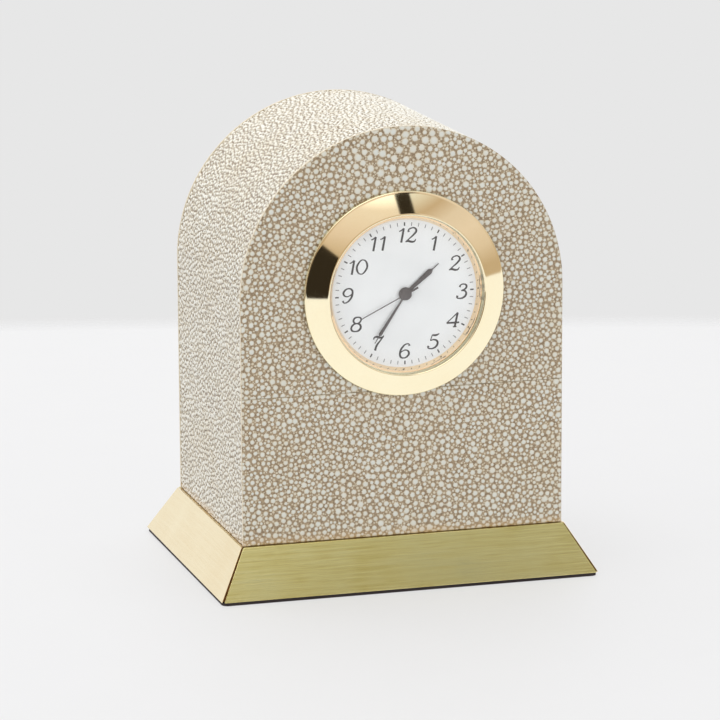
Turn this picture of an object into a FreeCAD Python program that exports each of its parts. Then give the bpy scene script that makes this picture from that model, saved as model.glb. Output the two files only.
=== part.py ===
import FreeCAD, Part
import math
import os
import re

import Sketcher

# An arch-topped desk clock: a shagreen-covered block on a mitred brass base, with a pull-out
# quartz clock insert in a blind bore.
# Frame: +Z up, front of the clock faces -Y, origin on the floor under the middle of the base.

V = FreeCAD.Vector

doc = FreeCAD.newDocument("desk_clock")
sheet = doc.addObject("Spreadsheet::Sheet", "Sizes")

# Driving sizes in millimetres, angles in degrees, counts and shares as plain numbers.
SIZES = {
    # case block
    "body_width": 81.0,
    "body_depth": 63.0,
    "back_board": 19.0,
    "cover": 1.0,
    "spring_rise": 60.0,
    "seam_drop": 0.7,
    # base
    "pad_thickness": 0.8,
    "pad_inset": 0.3,
    "pad_corner": 1.5,
    "base_rise": 11.6,
    "base_flare": 7.3,
    "base_ledge": 0.6,
    "plate_run": 1.0,
    "mitre_gap": 0.1,
    "screw_span": 44.0,
    "screw_length": 32.0,
    "screw_radius": 2.0,
    "screw_head_radius": 4.0,
    "screw_head_rise": 2.4,
    "screw_fit": 0.05,
    # insert: each wall outwards from the room that the movement needs
    "movement_gap": 0.1526,
    "cup_shoulder": 1.5,
    "cup_wall": 1.4,
    "bore_room": 1.6,
    "bore_air": 3.67,
    "bezel_cover": 1.9,
    "bezel_lip": 0.6,
    "bezel_rim": 1.3,
    "bezel_rise": 3.72,
    "bezel_round": 0.3,
    "bezel_crown": 80.0,
    "bezel_wall": 0.6,
    "bezel_seat": 0.2,
    # lens, inner ring and dial
    "lens_thickness": 1.0,
    "lens_drop": 0.4,
    "ring_wall": 1.95,
    "ring_flare": 0.45,
    "dial_thickness": 0.4,
    "stack_fit": 0.1,
    "glue_gap": 0.05,
    # back of the insert and grip ring
    "cell_room": 2.1,
    "back_thickness": 1.4,
    "spigot_wall": 1.0,
    "spigot_length": 1.5,
    "grip_start": 3.0,
    "grip_length": 9.0,
    "grip_wall": 0.6,
    "grip_gap": 0.2,
    "grip_ribs": 3,
    "grip_peak_share": 0.7,
    # movement plates
    "motion_room": 2.0,
    "plate_thickness": 1.1,
    "train_air": 0.6,
    "bridge_thickness": 1.0,
    "pillar_radius": 1.2,
    "pillar_out": 7.4,
    "pillar_left": 7.2,
    "bridge_margin": 1.5,
    "small_screw_radius": 0.5,
    "small_screw_head": 1.0,
    "small_screw_rise": 0.6,
    "small_screw_length": 2.4,
    # arbors and wheels
    "arbor_radius": 0.35,
    "minute_tube_wall": 0.35,
    "hour_tube_wall": 0.4,
    "setting_arbor_radius": 0.5,
    "running_fit": 0.05,
    "seat_fit": 0.01,
    "wheel_thickness": 0.4,
    "wheel_air": 0.3,
    "pinion_overhang": 0.1,
    "dial_hole_gap": 0.15,
    "motion_module": 0.28,
    "third_module": 0.18,
    "rotor_module": 0.17,
    "arbor_gap": 0.34,
    "third_angle": 215.0,
    "rotor_radius": 1.6,
    "rotor_length": 1.5,
    # stator, coil and circuit
    "stator_web": 0.5,
    "stator_edge": 0.4,
    "stator_arm": 2.0,
    "stator_air": 0.3,
    "stator_thickness": 0.6,
    "core_width": 1.8,
    "core_thickness": 0.8,
    "winding_gap": 0.1,
    "winding_air": 0.25,
    "winding_end": 0.8,
    "board_width": 17.0,
    "board_gap": 0.5,
    "board_height": 6.2,
    "board_lift": 2.3,
    "board_thickness": 0.8,
    "boss_radius": 1.0,
    "boss_out": 6.5,
    "chip_radius": 1.8,
    "chip_rise": 0.8,
    "crystal_radius": 0.95,
    "crystal_length": 5.6,
    # battery
    "battery_radius": 5.8,
    "battery_height": 5.4,
    "battery_side": 1.7,
    "tray_gap": 0.1,
    "tray_wall": 1.0,
    "contact_thickness": 0.3,
    "contact_width": 3.0,
    "contact_gap": 0.05,
    "contact_reach_share": 0.8,
    "contact_rise_share": 0.9,
    "hatch_margin": 0.8,
    "hatch_rim": 1.0,
    "hatch_rim_rise": 0.6,
    "hatch_lug_reach": 0.8,
    "hatch_lug_width": 3.0,
    "hatch_lug_rise": 0.8,
    "hatch_boss_radius": 3.0,
    "hatch_slot_width": 1.2,
    "hatch_slot_length": 9.0,
    "hatch_slot_depth": 0.9,
    "hatch_turn": 45.0,
    # setting knob
    "knob_radius": 3.6,
    "knob_rise": 1.8,
    "knob_gap": 0.3,
    "knob_flute_depth": 0.3,
    "knob_flutes": 24,
    # hands
    "hand_thickness": 0.15,
    "hand_air": 0.18,
    "hour_hand_length": 10.9,
    "hour_hand_width": 1.35,
    "hour_hub_radius": 1.6,
    "hour_angle": 50.5,
    "minute_hand_length": 14.0,
    "minute_hand_width": 0.8,
    "minute_hub_radius": 1.5,
    "minute_angle": 213.8,
    "second_hand_length": 12.4,
    "second_hand_width": 0.24,
    "second_tail_length": 3.4,
    "second_tail_width": 0.5,
    "second_hub_radius": 1.45,
    "second_angle": 244.0,
}

for row, (alias, amount) in enumerate(SIZES.items(), start=1):
    sheet.set(f"A{row}", alias.replace("_", " "))
    sheet.set(f"B{row}", str(amount))
    sheet.setAlias(f"B{row}", alias)
doc.recompute()

# Tooth counts: seconds wheel turns once a minute, minute wheel once an hour.
ROTOR_TEETH = 8
INTERMEDIATE_TEETH = 48
INTERMEDIATE_LEAVES = 8
SECONDS_TEETH = 40
SECONDS_LEAVES = 8
THIRD_TEETH = 64
THIRD_LEAVES = 8
MINUTE_TEETH = 60
CANNON_LEAVES = 12
MOTION_TEETH = 36
MOTION_LEAVES = 10
HOUR_TEETH = 40

# Shares of a tooth: height outside and inside the pitch circle, and the play left between flanks.
TOP_SHARE = 0.85
ROOT_SHARE = 1.1
PLAY_SHARE = 0.12

ALIASES = sorted(SIZES, key=len, reverse=True)
WORD = re.compile(r"\b(" + "|".join(ALIASES) + r")\b")


def formula(text):
    """The expression with each size name bound to its cell of the sheet."""
    return WORD.sub(r"Sizes.\1", text)


def value(text):
    """The number that an expression in size names gives."""
    return float(sheet.evalExpression(formula(text)))


# Places along the clock's axis. Depths run backwards from the front face of the covers. The dial
# stands behind the lens by the room that the three hands need.
BODY_DEPTH = "body_depth"
PLINTH_TOP = "(pad_thickness + base_rise)"
CLOCK_HEIGHT = f"({PLINTH_TOP} + spring_rise)"
LENS_TOP = "(bezel_rise - lens_drop)"
LENS_BACK = f"({LENS_TOP} - lens_thickness)"
DIAL_RISE = f"({LENS_BACK} - 3 * hand_thickness - 5 * hand_air)"
DIAL_BACK = f"(dial_thickness - {DIAL_RISE})"
LAYER = "(wheel_thickness + wheel_air)"
PLATE_FRONT = f"({DIAL_BACK} + motion_room)"
PLATE_BACK = f"({PLATE_FRONT} + plate_thickness)"
MINUTE_LAYER = f"({PLATE_BACK} + wheel_air)"
THIRD_LAYER = f"({MINUTE_LAYER} + {LAYER})"
SECONDS_LAYER = f"({THIRD_LAYER} + {LAYER})"
INTERMEDIATE_LAYER = f"({SECONDS_LAYER} + {LAYER})"
MOTION_LAYER = f"({PLATE_FRONT} - {LAYER})"
HOUR_LAYER = f"({MOTION_LAYER} - {LAYER})"
BRIDGE_FRONT = f"({INTERMEDIATE_LAYER} + wheel_thickness + pinion_overhang + train_air)"
BRIDGE_BACK = f"({BRIDGE_FRONT} + bridge_thickness)"
TRAY_FLOOR = f"({BRIDGE_BACK} + tray_wall)"
CELL_FRONT = f"({TRAY_FLOOR} + contact_thickness)"
CELL_BACK = f"({CELL_FRONT} + battery_height)"
CUP_DEPTH = f"({CELL_BACK} + cell_room)"
COVER_BACK = f"({CUP_DEPTH} + back_thickness)"
KNOB_BACK = f"({COVER_BACK} + knob_gap + knob_rise)"
FRONT_BOARD = f"({KNOB_BACK} + bore_air - cover)"
MIDDLE_BOARD = f"({BODY_DEPTH} - 2 * cover - {FRONT_BOARD} - back_board)"

MINUTE_TUBE = "(arbor_radius + running_fit + minute_tube_wall)"
HOUR_TUBE = f"({MINUTE_TUBE} + running_fit + hour_tube_wall)"

HOUR_HAND_BACK = f"(-{DIAL_RISE} - 2 * hand_air)"
MINUTE_HAND_BACK = f"({HOUR_HAND_BACK} - hand_thickness - hand_air)"
SECOND_HAND_BACK = f"({MINUTE_HAND_BACK} - hand_thickness - hand_air)"

# Centre distances and the modules that share them. The intermediate arbor passes just outside
# the minute wheel.
MOTION_OUT = f"({(CANNON_LEAVES + MOTION_TEETH) / 2} * motion_module)"
HOUR_MODULE = f"({MOTION_OUT} / {(MOTION_LEAVES + HOUR_TEETH) / 2})"
THIRD_OUT = f"({(THIRD_LEAVES + MINUTE_TEETH) / 2} * third_module)"
THIRD_WHEEL_MODULE = f"({THIRD_OUT} / {(SECONDS_LEAVES + THIRD_TEETH) / 2})"
MINUTE_TIP = f"({MINUTE_TEETH / 2 + TOP_SHARE} * third_module)"
INTERMEDIATE_OUT = f"({MINUTE_TIP} + arbor_radius + arbor_gap)"
SECONDS_MODULE = f"({INTERMEDIATE_OUT} / {(INTERMEDIATE_LEAVES + SECONDS_TEETH) / 2})"
ROTOR_OUT = f"({INTERMEDIATE_OUT} + {(ROTOR_TEETH + INTERMEDIATE_TEETH) / 2} * rotor_module)"

# The step motor, whose coil stands furthest out and so sets the inside of the cup.
STATOR_REACH = "(rotor_radius + stator_air + stator_web)"
STATOR_LEFT = f"({ROTOR_OUT} - {STATOR_REACH})"
STATOR_RIGHT = f"({ROTOR_OUT} + {STATOR_REACH})"
STATOR_HALF = "(pillar_out + pillar_radius + stator_edge)"
ARM_IN = f"({STATOR_HALF} - stator_arm)"
STATOR_MIDDLE = f"({INTERMEDIATE_LAYER} - pinion_overhang - stator_air - rotor_length / 2)"
STATOR_FRONT = f"({STATOR_MIDDLE} - stator_thickness / 2)"
CORE_FRONT = f"({STATOR_FRONT} + stator_thickness)"
WINDING_RADIUS = f"({CORE_FRONT} + core_thickness / 2 - {PLATE_BACK} - winding_air)"
CORE_OUT = f"({STATOR_RIGHT} + winding_gap + {WINDING_RADIUS})"
CORE_RIGHT = f"({CORE_OUT} + core_width / 2)"

# Radii of the insert, from the movement outwards.
CUP_INNER = f"(sqrt({CORE_RIGHT} ^ 2 + {STATOR_HALF} ^ 2) + movement_gap)"
CUP_BORE = f"({CUP_INNER} + cup_shoulder)"
LENS_RADIUS = f"({CUP_BORE} - stack_fit)"
CUP_RADIUS = f"({CUP_BORE} + cup_wall)"
BORE_RADIUS = f"({CUP_RADIUS} + bore_room)"
BEZEL_RADIUS = f"({BORE_RADIUS} + bezel_cover)"
WINDOW_RADIUS = f"({LENS_RADIUS} - bezel_lip)"
SEAM_RISE = f"(spring_rise - {BORE_RADIUS} - seam_drop)"

# The battery lies as low as the cup lets it, and the circuit board spans the cup below it.
TRAY_IN = "(battery_radius + tray_gap)"
TRAY_OUT = f"({TRAY_IN} + tray_wall)"
BATTERY_DROP = f"({CUP_INNER} - {TRAY_OUT} - battery_side)"
HATCH_RADIUS = "(battery_radius + hatch_margin)"
BOARD_LOW = f"(sqrt(({CUP_INNER} - board_gap) ^ 2 - (board_width / 2) ^ 2))"

# Where each upright of the movement stands, in the plan seen from the front.
THIRD_AT = (f"{THIRD_OUT} * cos(third_angle * 1 deg)", f"{THIRD_OUT} * sin(third_angle * 1 deg)")
INTERMEDIATE_AT = (INTERMEDIATE_OUT, "0")
ROTOR_AT = (ROTOR_OUT, "0")
MOTION_AT = ("0", MOTION_OUT)
BATTERY_AT = ("0", f"-{BATTERY_DROP}")
CENTRE_AT = ("0", "0")
PILLARS_AT = [
    ("-pillar_left", "pillar_out"),
    (ROTOR_OUT, "pillar_out"),
    (ROTOR_OUT, "-pillar_out"),
]

FACING = FreeCAD.Rotation(V(1, 0, 0), 90)
UPRIGHT = FreeCAD.Rotation()

parts = []


def place(piece, x, y, z, rotation):
    """Puts a piece at a point given by expressions, with a fixed turn."""
    piece.Placement = FreeCAD.Placement(V(value(x), value(y), value(z)), rotation)
    for axis, text in zip("xyz", (x, y, z)):
        if text != "0":
            piece.setExpression(f"Placement.Base.{axis}", formula(text))


def face_clock(piece, depth="0", at=CENTRE_AT):
    """Turns a piece to the clock's plan: x right, y up, z out of the face, set back by depth."""
    x, y = at
    place(piece, x, f"-{BODY_DEPTH} / 2 + {depth}", f"{CLOCK_HEIGHT} + {y}", FACING)


def new_body(label):
    """An empty body that becomes one node."""
    body = doc.addObject("PartDesign::Body", label)
    body.Label = label
    parts.append(body)
    return body


def new_sketch(body, name, role="XY_Plane", offset=None):
    """A sketch on one of the body's own origin planes, moved off it by an expression."""
    plane = next(item for item in body.Origin.OriginFeatures if item.Role == role)
    sketch = body.newObject("Sketcher::SketchObject", f"{body.Name}_{name}")
    sketch.AttachmentSupport = [(plane, "")]
    sketch.MapMode = "FlatFace"
    if offset:
        sketch.setExpression("AttachmentOffset.Base.z", formula(offset))
    return sketch


def hold_point(sketch, index, end, x, y):
    """Dimensions a curve's end from the sketch origin."""
    for kind, text, axis in (("DistanceX", x, -2), ("DistanceY", y, -1)):
        if text == "0":
            sketch.addConstraint(Sketcher.Constraint("PointOnObject", index, end, axis))
        else:
            amount = value(text)
            number = sketch.addConstraint(Sketcher.Constraint(kind, -1, 1, index, end, amount))
            sketch.setExpression(f"Constraints[{number}]", formula(text))


def hold_radius(sketch, index, radius):
    """Dimensions a curve's radius."""
    number = sketch.addConstraint(Sketcher.Constraint("Radius", index, value(radius)))
    sketch.setExpression(f"Constraints[{number}]", formula(radius))


def arc_between(start, end, radius, bulge):
    """The short arc of that radius from start to end; bulge is 1 to the left of travel, -1 right."""
    chord = end - start
    half = chord.Length / 2
    rise = math.sqrt(max(radius * radius - half * half, 0))
    left = V(-chord.y, chord.x, 0).normalize()
    centre = (start + end) / 2 - left * (rise * bulge)
    circle = Part.Circle(centre, V(0, 0, 1), radius)
    first = math.atan2(start.y - centre.y, start.x - centre.x)
    last = math.atan2(end.y - centre.y, end.x - centre.x)
    if bulge < 0:
        return Part.ArcOfCircle(circle, first, last), (1, 2)
    return Part.ArcOfCircle(circle, last, first), (2, 1)


def draw_outline(sketch, points):
    """A closed outline. A point is (x, y), or (x, y, radius, bulge) for an arc that runs on from it."""
    places = [V(value(point[0]), value(point[1]), 0) for point in points]
    ends = []
    for number, point in enumerate(points):
        start = places[number]
        end = places[(number + 1) % len(points)]
        if len(point) == 4:
            curve, order = arc_between(start, end, value(point[2]), point[3])
        else:
            curve, order = Part.LineSegment(start, end), (1, 2)
        ends.append((sketch.addGeometry(curve, False), order))
    for number, (index, order) in enumerate(ends):
        following, next_order = ends[(number + 1) % len(ends)]
        joint = Sketcher.Constraint("Coincident", index, order[1], following, next_order[0])
        sketch.addConstraint(joint)
    for point, (index, order) in zip(points, ends):
        hold_point(sketch, index, order[0], point[0], point[1])
        if len(point) == 4:
            hold_radius(sketch, index, point[2])


def draw_circle(sketch, x, y, radius):
    """A circle held by its centre and radius."""
    circle = Part.Circle(V(value(x), value(y), 0), V(0, 0, 1), value(radius))
    index = sketch.addGeometry(circle, False)
    hold_point(sketch, index, 3, x, y)
    hold_radius(sketch, index, radius)


def draw_box(sketch, half_x, half_y, x="0", y="0"):
    """An upright rectangle about a point."""
    corners = [(-1, -1), (1, -1), (1, 1), (-1, 1)]
    draw_outline(sketch, [(f"{x} + {i} * ({half_x})", f"{y} + {j} * ({half_y})") for i, j in corners])


def pad(body, sketch, length, backwards=False, both_ways=False):
    """Raises a sketch into a solid."""
    feature = body.newObject("PartDesign::Pad", f"{sketch.Name}_pad")
    feature.Profile = sketch
    feature.Length = value(length)
    feature.setExpression("Length", formula(length))
    feature.Reversed = backwards
    feature.Midplane = both_ways
    return feature


def pocket(body, sketch, depth=None, backwards=False):
    """Cuts a sketch into the body, right through it both ways if no depth is given."""
    doc.recompute()
    before = body.Shape.Volume
    feature = body.newObject("PartDesign::Pocket", f"{sketch.Name}_pocket")
    feature.Profile = sketch
    if depth is None:
        feature.Type = "ThroughAll"
        feature.Midplane = True
    else:
        feature.Length = value(depth)
        feature.setExpression("Length", formula(depth))
        feature.Reversed = backwards
    doc.recompute()
    if not body.Shape.Volume < before:
        raise RuntimeError(f"{feature.Name} cut nothing")
    return feature


def turned(label, points, depth="0", at=CENTRE_AT):
    """A round piece: a half section of (radius, height) turned about the clock's axis."""
    body = new_body(label)
    sketch = new_sketch(body, "section", "XZ_Plane")
    draw_outline(sketch, points)
    turn = body.newObject("PartDesign::Revolution", f"{label}_turn")
    turn.Profile = sketch
    turn.ReferenceAxis = (sketch, ["V_Axis"])
    turn.Angle = 360
    face_clock(body, depth, at)
    return body


def drilled(body, holes):
    """Round holes (x, y, radius) right through a body along its own z."""
    sketch = new_sketch(body, "holes")
    for x, y, radius in holes:
        draw_circle(sketch, x, y, radius)
    pocket(body, sketch)


def toothed_face(teeth, module, toward):
    """A flat gear outline with a tooth centred on the direction toward, in radians."""
    pitch = teeth * module / 2
    tip = pitch + module * TOP_SHARE
    root = pitch - module * ROOT_SHARE
    pressure = math.radians(20)
    base = pitch * math.cos(pressure)
    half = math.pi / (2 * teeth) * (1 - PLAY_SHARE)
    points = []
    for number in range(teeth):
        middle = toward + 2 * math.pi * number / teeth
        flank = []
        for radius in (root, pitch, tip):
            slope = math.acos(min(base / radius, 1))
            lean = math.tan(pressure) - pressure - (math.tan(slope) - slope)
            flank.append((radius, max(half + lean, 0)))
        side = [(radius, middle - angle) for radius, angle in flank]
        side += [(radius, middle + angle) for radius, angle in reversed(flank)]
        points += [V(r * math.cos(a), r * math.sin(a), 0) for r, a in side]
    return Part.Face(Part.makePolygon(points + points[:1]))


def gear(teeth, module, toward, front, back):
    """A toothed disc between two depths."""
    face = toothed_face(teeth, module, toward)
    face.translate(V(0, 0, -back))
    return face.extrude(V(0, 0, back - front))


def rod(radius, front, back):
    """A round bar between two depths."""
    return Part.makeCylinder(radius, back - front, V(0, 0, -back), V(0, 0, 1))


def wheel(label, at, solids, bore=None):
    """One turning piece of the train: its solids joined, bored if it is a tube, on its own axis."""
    shape = solids[0].multiFuse(solids[1:]) if len(solids) > 1 else solids[0]
    if bore:
        radius, front, back = bore
        shape = shape.cut(rod(radius, front, back))
    feature = doc.addObject("Part::Feature", label)
    feature.Label = label
    feature.Shape = shape.removeSplitter()
    face_clock(feature, "0", at)
    parts.append(feature)
    return feature


def arch_outline(half, rise):
    """A round-topped outline that stands on the sketch's x axis."""
    return [
        (f"-({half})", "0"),
        (half, "0"),
        (half, rise, half, -1),
        ("0", f"{rise} + {half}", half, -1),
        (f"-({half})", rise),
    ]


# Case block: three boards glued face to face. The bore for the insert runs through the front one.
def case_board(label, thickness, front):
    """One board of the block, standing on the plinth."""
    body = new_body(label)
    sketch = new_sketch(body, "outline")
    draw_outline(sketch, arch_outline("body_width / 2 - cover", "spring_rise"))
    pad(body, sketch, thickness, backwards=True)
    place(body, "0", f"-{BODY_DEPTH} / 2 + {front}", PLINTH_TOP, FACING)
    return body


front_block = case_board("case_front_board", FRONT_BOARD, "cover")
drilled(front_block, [("0", "spring_rise", BORE_RADIUS)])

middle_block = case_board("case_middle_board", MIDDLE_BOARD, f"cover + {FRONT_BOARD}")
pilot = new_sketch(middle_block, "pilots", "XZ_Plane")
for side in ("screw_span / 2", "-screw_span / 2"):
    draw_circle(pilot, side, f"-{MIDDLE_BOARD} / 2", "screw_radius + screw_fit")
pocket(middle_block, pilot, "screw_length - base_rise + 2 * screw_fit")

case_board("case_back_board", "back_board", f"{BODY_DEPTH} - cover - back_board")


# Covers: the front is in two sheets that meet at a level seam, the back is one, and a strip wraps
# the sides and the arch between them.
def flat_cover(label, points, front, bottom):
    """A flat sheet of the covering."""
    body = new_body(label)
    sketch = new_sketch(body, "outline")
    draw_outline(sketch, points)
    pad(body, sketch, "cover", backwards=True)
    place(body, "0", f"-{BODY_DEPTH} / 2 + {front}", bottom, FACING)
    return body


HALF = "body_width / 2"
lower_corners = [(f"-{HALF}", "0"), (HALF, "0"), (HALF, SEAM_RISE), (f"-{HALF}", SEAM_RISE)]
flat_cover("front_cover_lower", lower_corners, "0", PLINTH_TOP)

upper = flat_cover(
    "front_cover_upper",
    arch_outline(HALF, f"spring_rise - {SEAM_RISE}"),
    "0",
    f"{PLINTH_TOP} + {SEAM_RISE}",
)
drilled(upper, [("0", f"spring_rise - {SEAM_RISE}", BORE_RADIUS)])

flat_cover("back_cover", arch_outline(HALF, "spring_rise"), f"{BODY_DEPTH} - cover", PLINTH_TOP)

wrap = new_body("wrap_cover")
strip = new_sketch(wrap, "outline")
INNER = "(body_width / 2 - cover)"
outer_path = arch_outline(HALF, "spring_rise")[1:]
inner_path = [
    (f"-{INNER}", "0"),
    (f"-{INNER}", "spring_rise", INNER, 1),
    ("0", f"spring_rise + {INNER}", INNER, 1),
    (INNER, "spring_rise"),
    (INNER, "0"),
]
draw_outline(strip, outer_path + [(f"-{HALF}", "0")] + inner_path)
pad(wrap, strip, f"{BODY_DEPTH} - 2 * cover", backwards=True)
place(wrap, "0", f"-{BODY_DEPTH} / 2 + cover", PLINTH_TOP, FACING)

# Base: a tapered wooden plinth faced with four mitred brass plates, on a dark pad.
TOP_X = "(body_width / 2 + base_ledge)"
TOP_Y = f"({BODY_DEPTH} / 2 + base_ledge)"
FOOT_X = "(body_width / 2 + base_flare)"
FOOT_Y = f"({BODY_DEPTH} / 2 + base_flare)"

block = doc.addObject("Part::Wedge", "plinth_block")
for name, text in {
    "Xmin": f"-({FOOT_X} - plate_run)",
    "Xmax": f"{FOOT_X} - plate_run",
    "Zmin": f"-({FOOT_Y} - plate_run)",
    "Zmax": f"{FOOT_Y} - plate_run",
    "Ymin": "0 * base_rise",
    "Ymax": "base_rise",
    "X2min": f"-({TOP_X} - plate_run)",
    "X2max": f"{TOP_X} - plate_run",
    "Z2min": f"-({TOP_Y} - plate_run)",
    "Z2max": f"{TOP_Y} - plate_run",
}.items():
    block.setExpression(name, formula(text))
place(block, "0", "0", "pad_thickness", FACING)

SCREW_Y = f"(-{BODY_DEPTH} / 2 + cover + {FRONT_BOARD} + {MIDDLE_BOARD} / 2)"


def screw_shape(label, side, play):
    """A countersunk screw standing point up, or its hole when play is given."""
    head = doc.addObject("Part::Cone", f"{label}_head")
    head.setExpression("Radius1", formula(f"screw_head_radius + {play}"))
    head.setExpression("Radius2", formula(f"screw_radius + {play}"))
    head.setExpression("Height", formula("screw_head_rise"))
    shank = doc.addObject("Part::Cylinder", f"{label}_shank")
    shank.setExpression("Radius", formula(f"screw_radius + {play}"))
    shank.setExpression("Height", formula("screw_length"))
    for item in (head, shank):
        place(item, f"{side} * screw_span / 2", SCREW_Y, "pad_thickness", UPRIGHT)
    whole = doc.addObject("Part::Fuse", label)
    whole.Base = head
    whole.Tool = shank
    return whole


holes = doc.addObject("Part::MultiFuse", "plinth_holes")
holes.Shapes = [screw_shape("hole_left", -1, "screw_fit"), screw_shape("hole_right", 1, "screw_fit")]
plinth = doc.addObject("Part::Cut", "plinth")
plinth.Base = block
plinth.Tool = holes
parts.append(plinth)

screws = doc.addObject("Part::Compound", "base_screws")
screws.Links = [
    screw_shape("screw_left", -1, "0 * screw_fit"),
    screw_shape("screw_right", 1, "0 * screw_fit"),
]
parts.append(screws)


def brass_plate(label, foot, top, side_foot, side_top, turn):
    """A sloped plate along one side: its section run along the side, then cut at both mitres."""
    body = new_body(label)
    section = new_sketch(body, "section", "YZ_Plane")
    corners = [
        (f"-({foot})", "0"),
        (f"-({foot} - plate_run)", "0"),
        (f"-({top} - plate_run)", "base_rise"),
        (f"-({top})", "base_rise"),
    ]
    draw_outline(section, corners)
    pad(body, section, f"2 * {side_foot}", both_ways=True)
    # the mitre runs in plan from the inner top corner to the outer foot corner
    mitre = new_sketch(body, "mitre")
    reach = "(plate_run + base_flare)"
    for side in (-1, 1):
        corner = [
            (f"{side} * ({side_foot} + {reach} - mitre_gap)", f"-({foot} + {reach})"),
            (f"{side} * ({side_top} - {reach} - mitre_gap)", f"-({top} - {reach})"),
            (f"{side} * ({side_foot} + {reach})", f"-({top} - {reach})"),
        ]
        draw_outline(mitre, corner if side > 0 else corner[::-1])
    pocket(body, mitre)
    place(body, "0", "0", "pad_thickness", FreeCAD.Rotation(V(0, 0, 1), turn))


brass_plate("brass_plate_front", FOOT_Y, TOP_Y, FOOT_X, TOP_X, 0)
brass_plate("brass_plate_right", FOOT_X, TOP_X, FOOT_Y, TOP_Y, 90)
brass_plate("brass_plate_back", FOOT_Y, TOP_Y, FOOT_X, TOP_X, 180)
brass_plate("brass_plate_left", FOOT_X, TOP_X, FOOT_Y, TOP_Y, 270)

base_pad = new_body("base_pad")
pad_outline = new_sketch(base_pad, "outline")
PAD_X = f"({FOOT_X} - pad_inset)"
PAD_Y = f"({FOOT_Y} - pad_inset)"
rounded = []
for i, j, ahead in ((1, -1, 1), (1, 1, 0), (-1, 1, 1), (-1, -1, 0)):
    along_x = (f"{i} * ({PAD_X} - pad_corner)", f"{j} * {PAD_Y}")
    along_y = (f"{i} * {PAD_X}", f"{j} * ({PAD_Y} - pad_corner)")
    first, second = (along_x, along_y) if ahead else (along_y, along_x)
    rounded += [first + ("pad_corner", -1), second]
draw_outline(pad_outline, rounded)
pad(base_pad, pad_outline, "pad_thickness")

# Clock insert, front to back. Sections are (radius, height out of the face).
RIM_IN = f"({BEZEL_RADIUS} - bezel_wall)"
SEAT_DOWN = f"({LENS_TOP} - bezel_seat)"
turned(
    "bezel",
    [
        (BEZEL_RADIUS, "0"),
        (BEZEL_RADIUS, "bezel_rim - bezel_round", "bezel_round", -1),
        (f"{BEZEL_RADIUS} - bezel_round", "bezel_rim", "bezel_crown", -1),
        (f"{WINDOW_RADIUS} + bezel_round", "bezel_rise", "bezel_round", -1),
        (WINDOW_RADIUS, "bezel_rise - bezel_round"),
        (WINDOW_RADIUS, LENS_TOP),
        (f"{CUP_BORE} + glue_gap", LENS_TOP),
        (f"{CUP_BORE} + glue_gap", SEAT_DOWN),
        (RIM_IN, "bezel_rim - bezel_wall"),
        (RIM_IN, "0"),
    ],
)

lens = new_body("lens")
lens_outline = new_sketch(lens, "outline")
draw_circle(lens_outline, "0", "0", LENS_RADIUS)
pad(lens, lens_outline, "lens_thickness")
face_clock(lens, f"-{LENS_BACK}")

turned(
    "inner_ring",
    [
        (f"{LENS_RADIUS} - ring_wall", DIAL_RISE),
        (LENS_RADIUS, DIAL_RISE),
        (LENS_RADIUS, LENS_BACK),
        (f"{LENS_RADIUS} - ring_wall + ring_flare", LENS_BACK),
    ],
)

dial = new_body("dial")
dial_outline = new_sketch(dial, "outline")
draw_circle(dial_outline, "0", "0", LENS_RADIUS)
draw_circle(dial_outline, "0", "0", f"{HOUR_TUBE} + dial_hole_gap")
pad(dial, dial_outline, "dial_thickness")
face_clock(dial, DIAL_BACK)

CUP_TOP = f"({SEAT_DOWN} - glue_gap)"
turned(
    "insert_cup",
    [
        (CUP_BORE, f"-{PLATE_BACK}"),
        (CUP_INNER, f"-{PLATE_BACK}"),
        (CUP_INNER, f"-{CUP_DEPTH}"),
        (CUP_RADIUS, f"-{CUP_DEPTH}"),
        (CUP_RADIUS, "0"),
        (f"{RIM_IN} - glue_gap", "0"),
        (f"{RIM_IN} - glue_gap", "bezel_rim - bezel_wall - glue_gap"),
        (CUP_BORE, CUP_TOP),
    ],
)

GRIP_IN = f"({CUP_RADIUS} + glue_gap)"
GRIP_BASE = f"({GRIP_IN} + grip_wall)"
GRIP_OUT = f"({BORE_RADIUS} - grip_gap)"
grip_section = [(GRIP_IN, "-grip_start"), (GRIP_IN, "-(grip_start + grip_length)")]
ribs = int(value("grip_ribs"))
for rib in reversed(range(ribs)):
    low = f"-(grip_start + grip_length * {rib + 1} / grip_ribs)"
    high = f"-(grip_start + grip_length * {rib} / grip_ribs)"
    peak = f"{high} * grip_peak_share + {low} * (1 - grip_peak_share)"
    grip_section += [(GRIP_BASE, low), (GRIP_OUT, peak)]
grip_section += [(GRIP_BASE, "-grip_start")]
turned("grip_ring", grip_section)

# Movement: the main plate with its rim, pillars and bosses.
main_plate = turned(
    "main_plate",
    [
        ("0", f"-{PLATE_BACK}"),
        (f"{CUP_BORE} - 2 * stack_fit", f"-{PLATE_BACK}"),
        (f"{CUP_BORE} - 2 * stack_fit", f"-{DIAL_BACK}"),
        (CUP_INNER, f"-{DIAL_BACK}"),
        (CUP_INNER, f"-{PLATE_FRONT}"),
        ("0", f"-{PLATE_FRONT}"),
    ],
)
doc.recompute()
pillars = new_sketch(main_plate, "pillars", offset=f"-{PLATE_FRONT} - plate_thickness / 2")
for x, y in PILLARS_AT:
    draw_circle(pillars, x, y, "pillar_radius")
pad(main_plate, pillars, f"{BRIDGE_FRONT} - {PLATE_FRONT} - plate_thickness / 2", backwards=True)
BOARD_Y = f"-({BOARD_LOW} - board_height / 2)"
bosses = new_sketch(main_plate, "bosses", offset=f"-{PLATE_FRONT} - plate_thickness / 2")
for side in (-1, 1):
    draw_circle(bosses, f"{side} * boss_out", BOARD_Y, "boss_radius")
pad(main_plate, bosses, "plate_thickness / 2 + board_lift", backwards=True)
PIVOT = "arbor_radius + running_fit"
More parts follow.
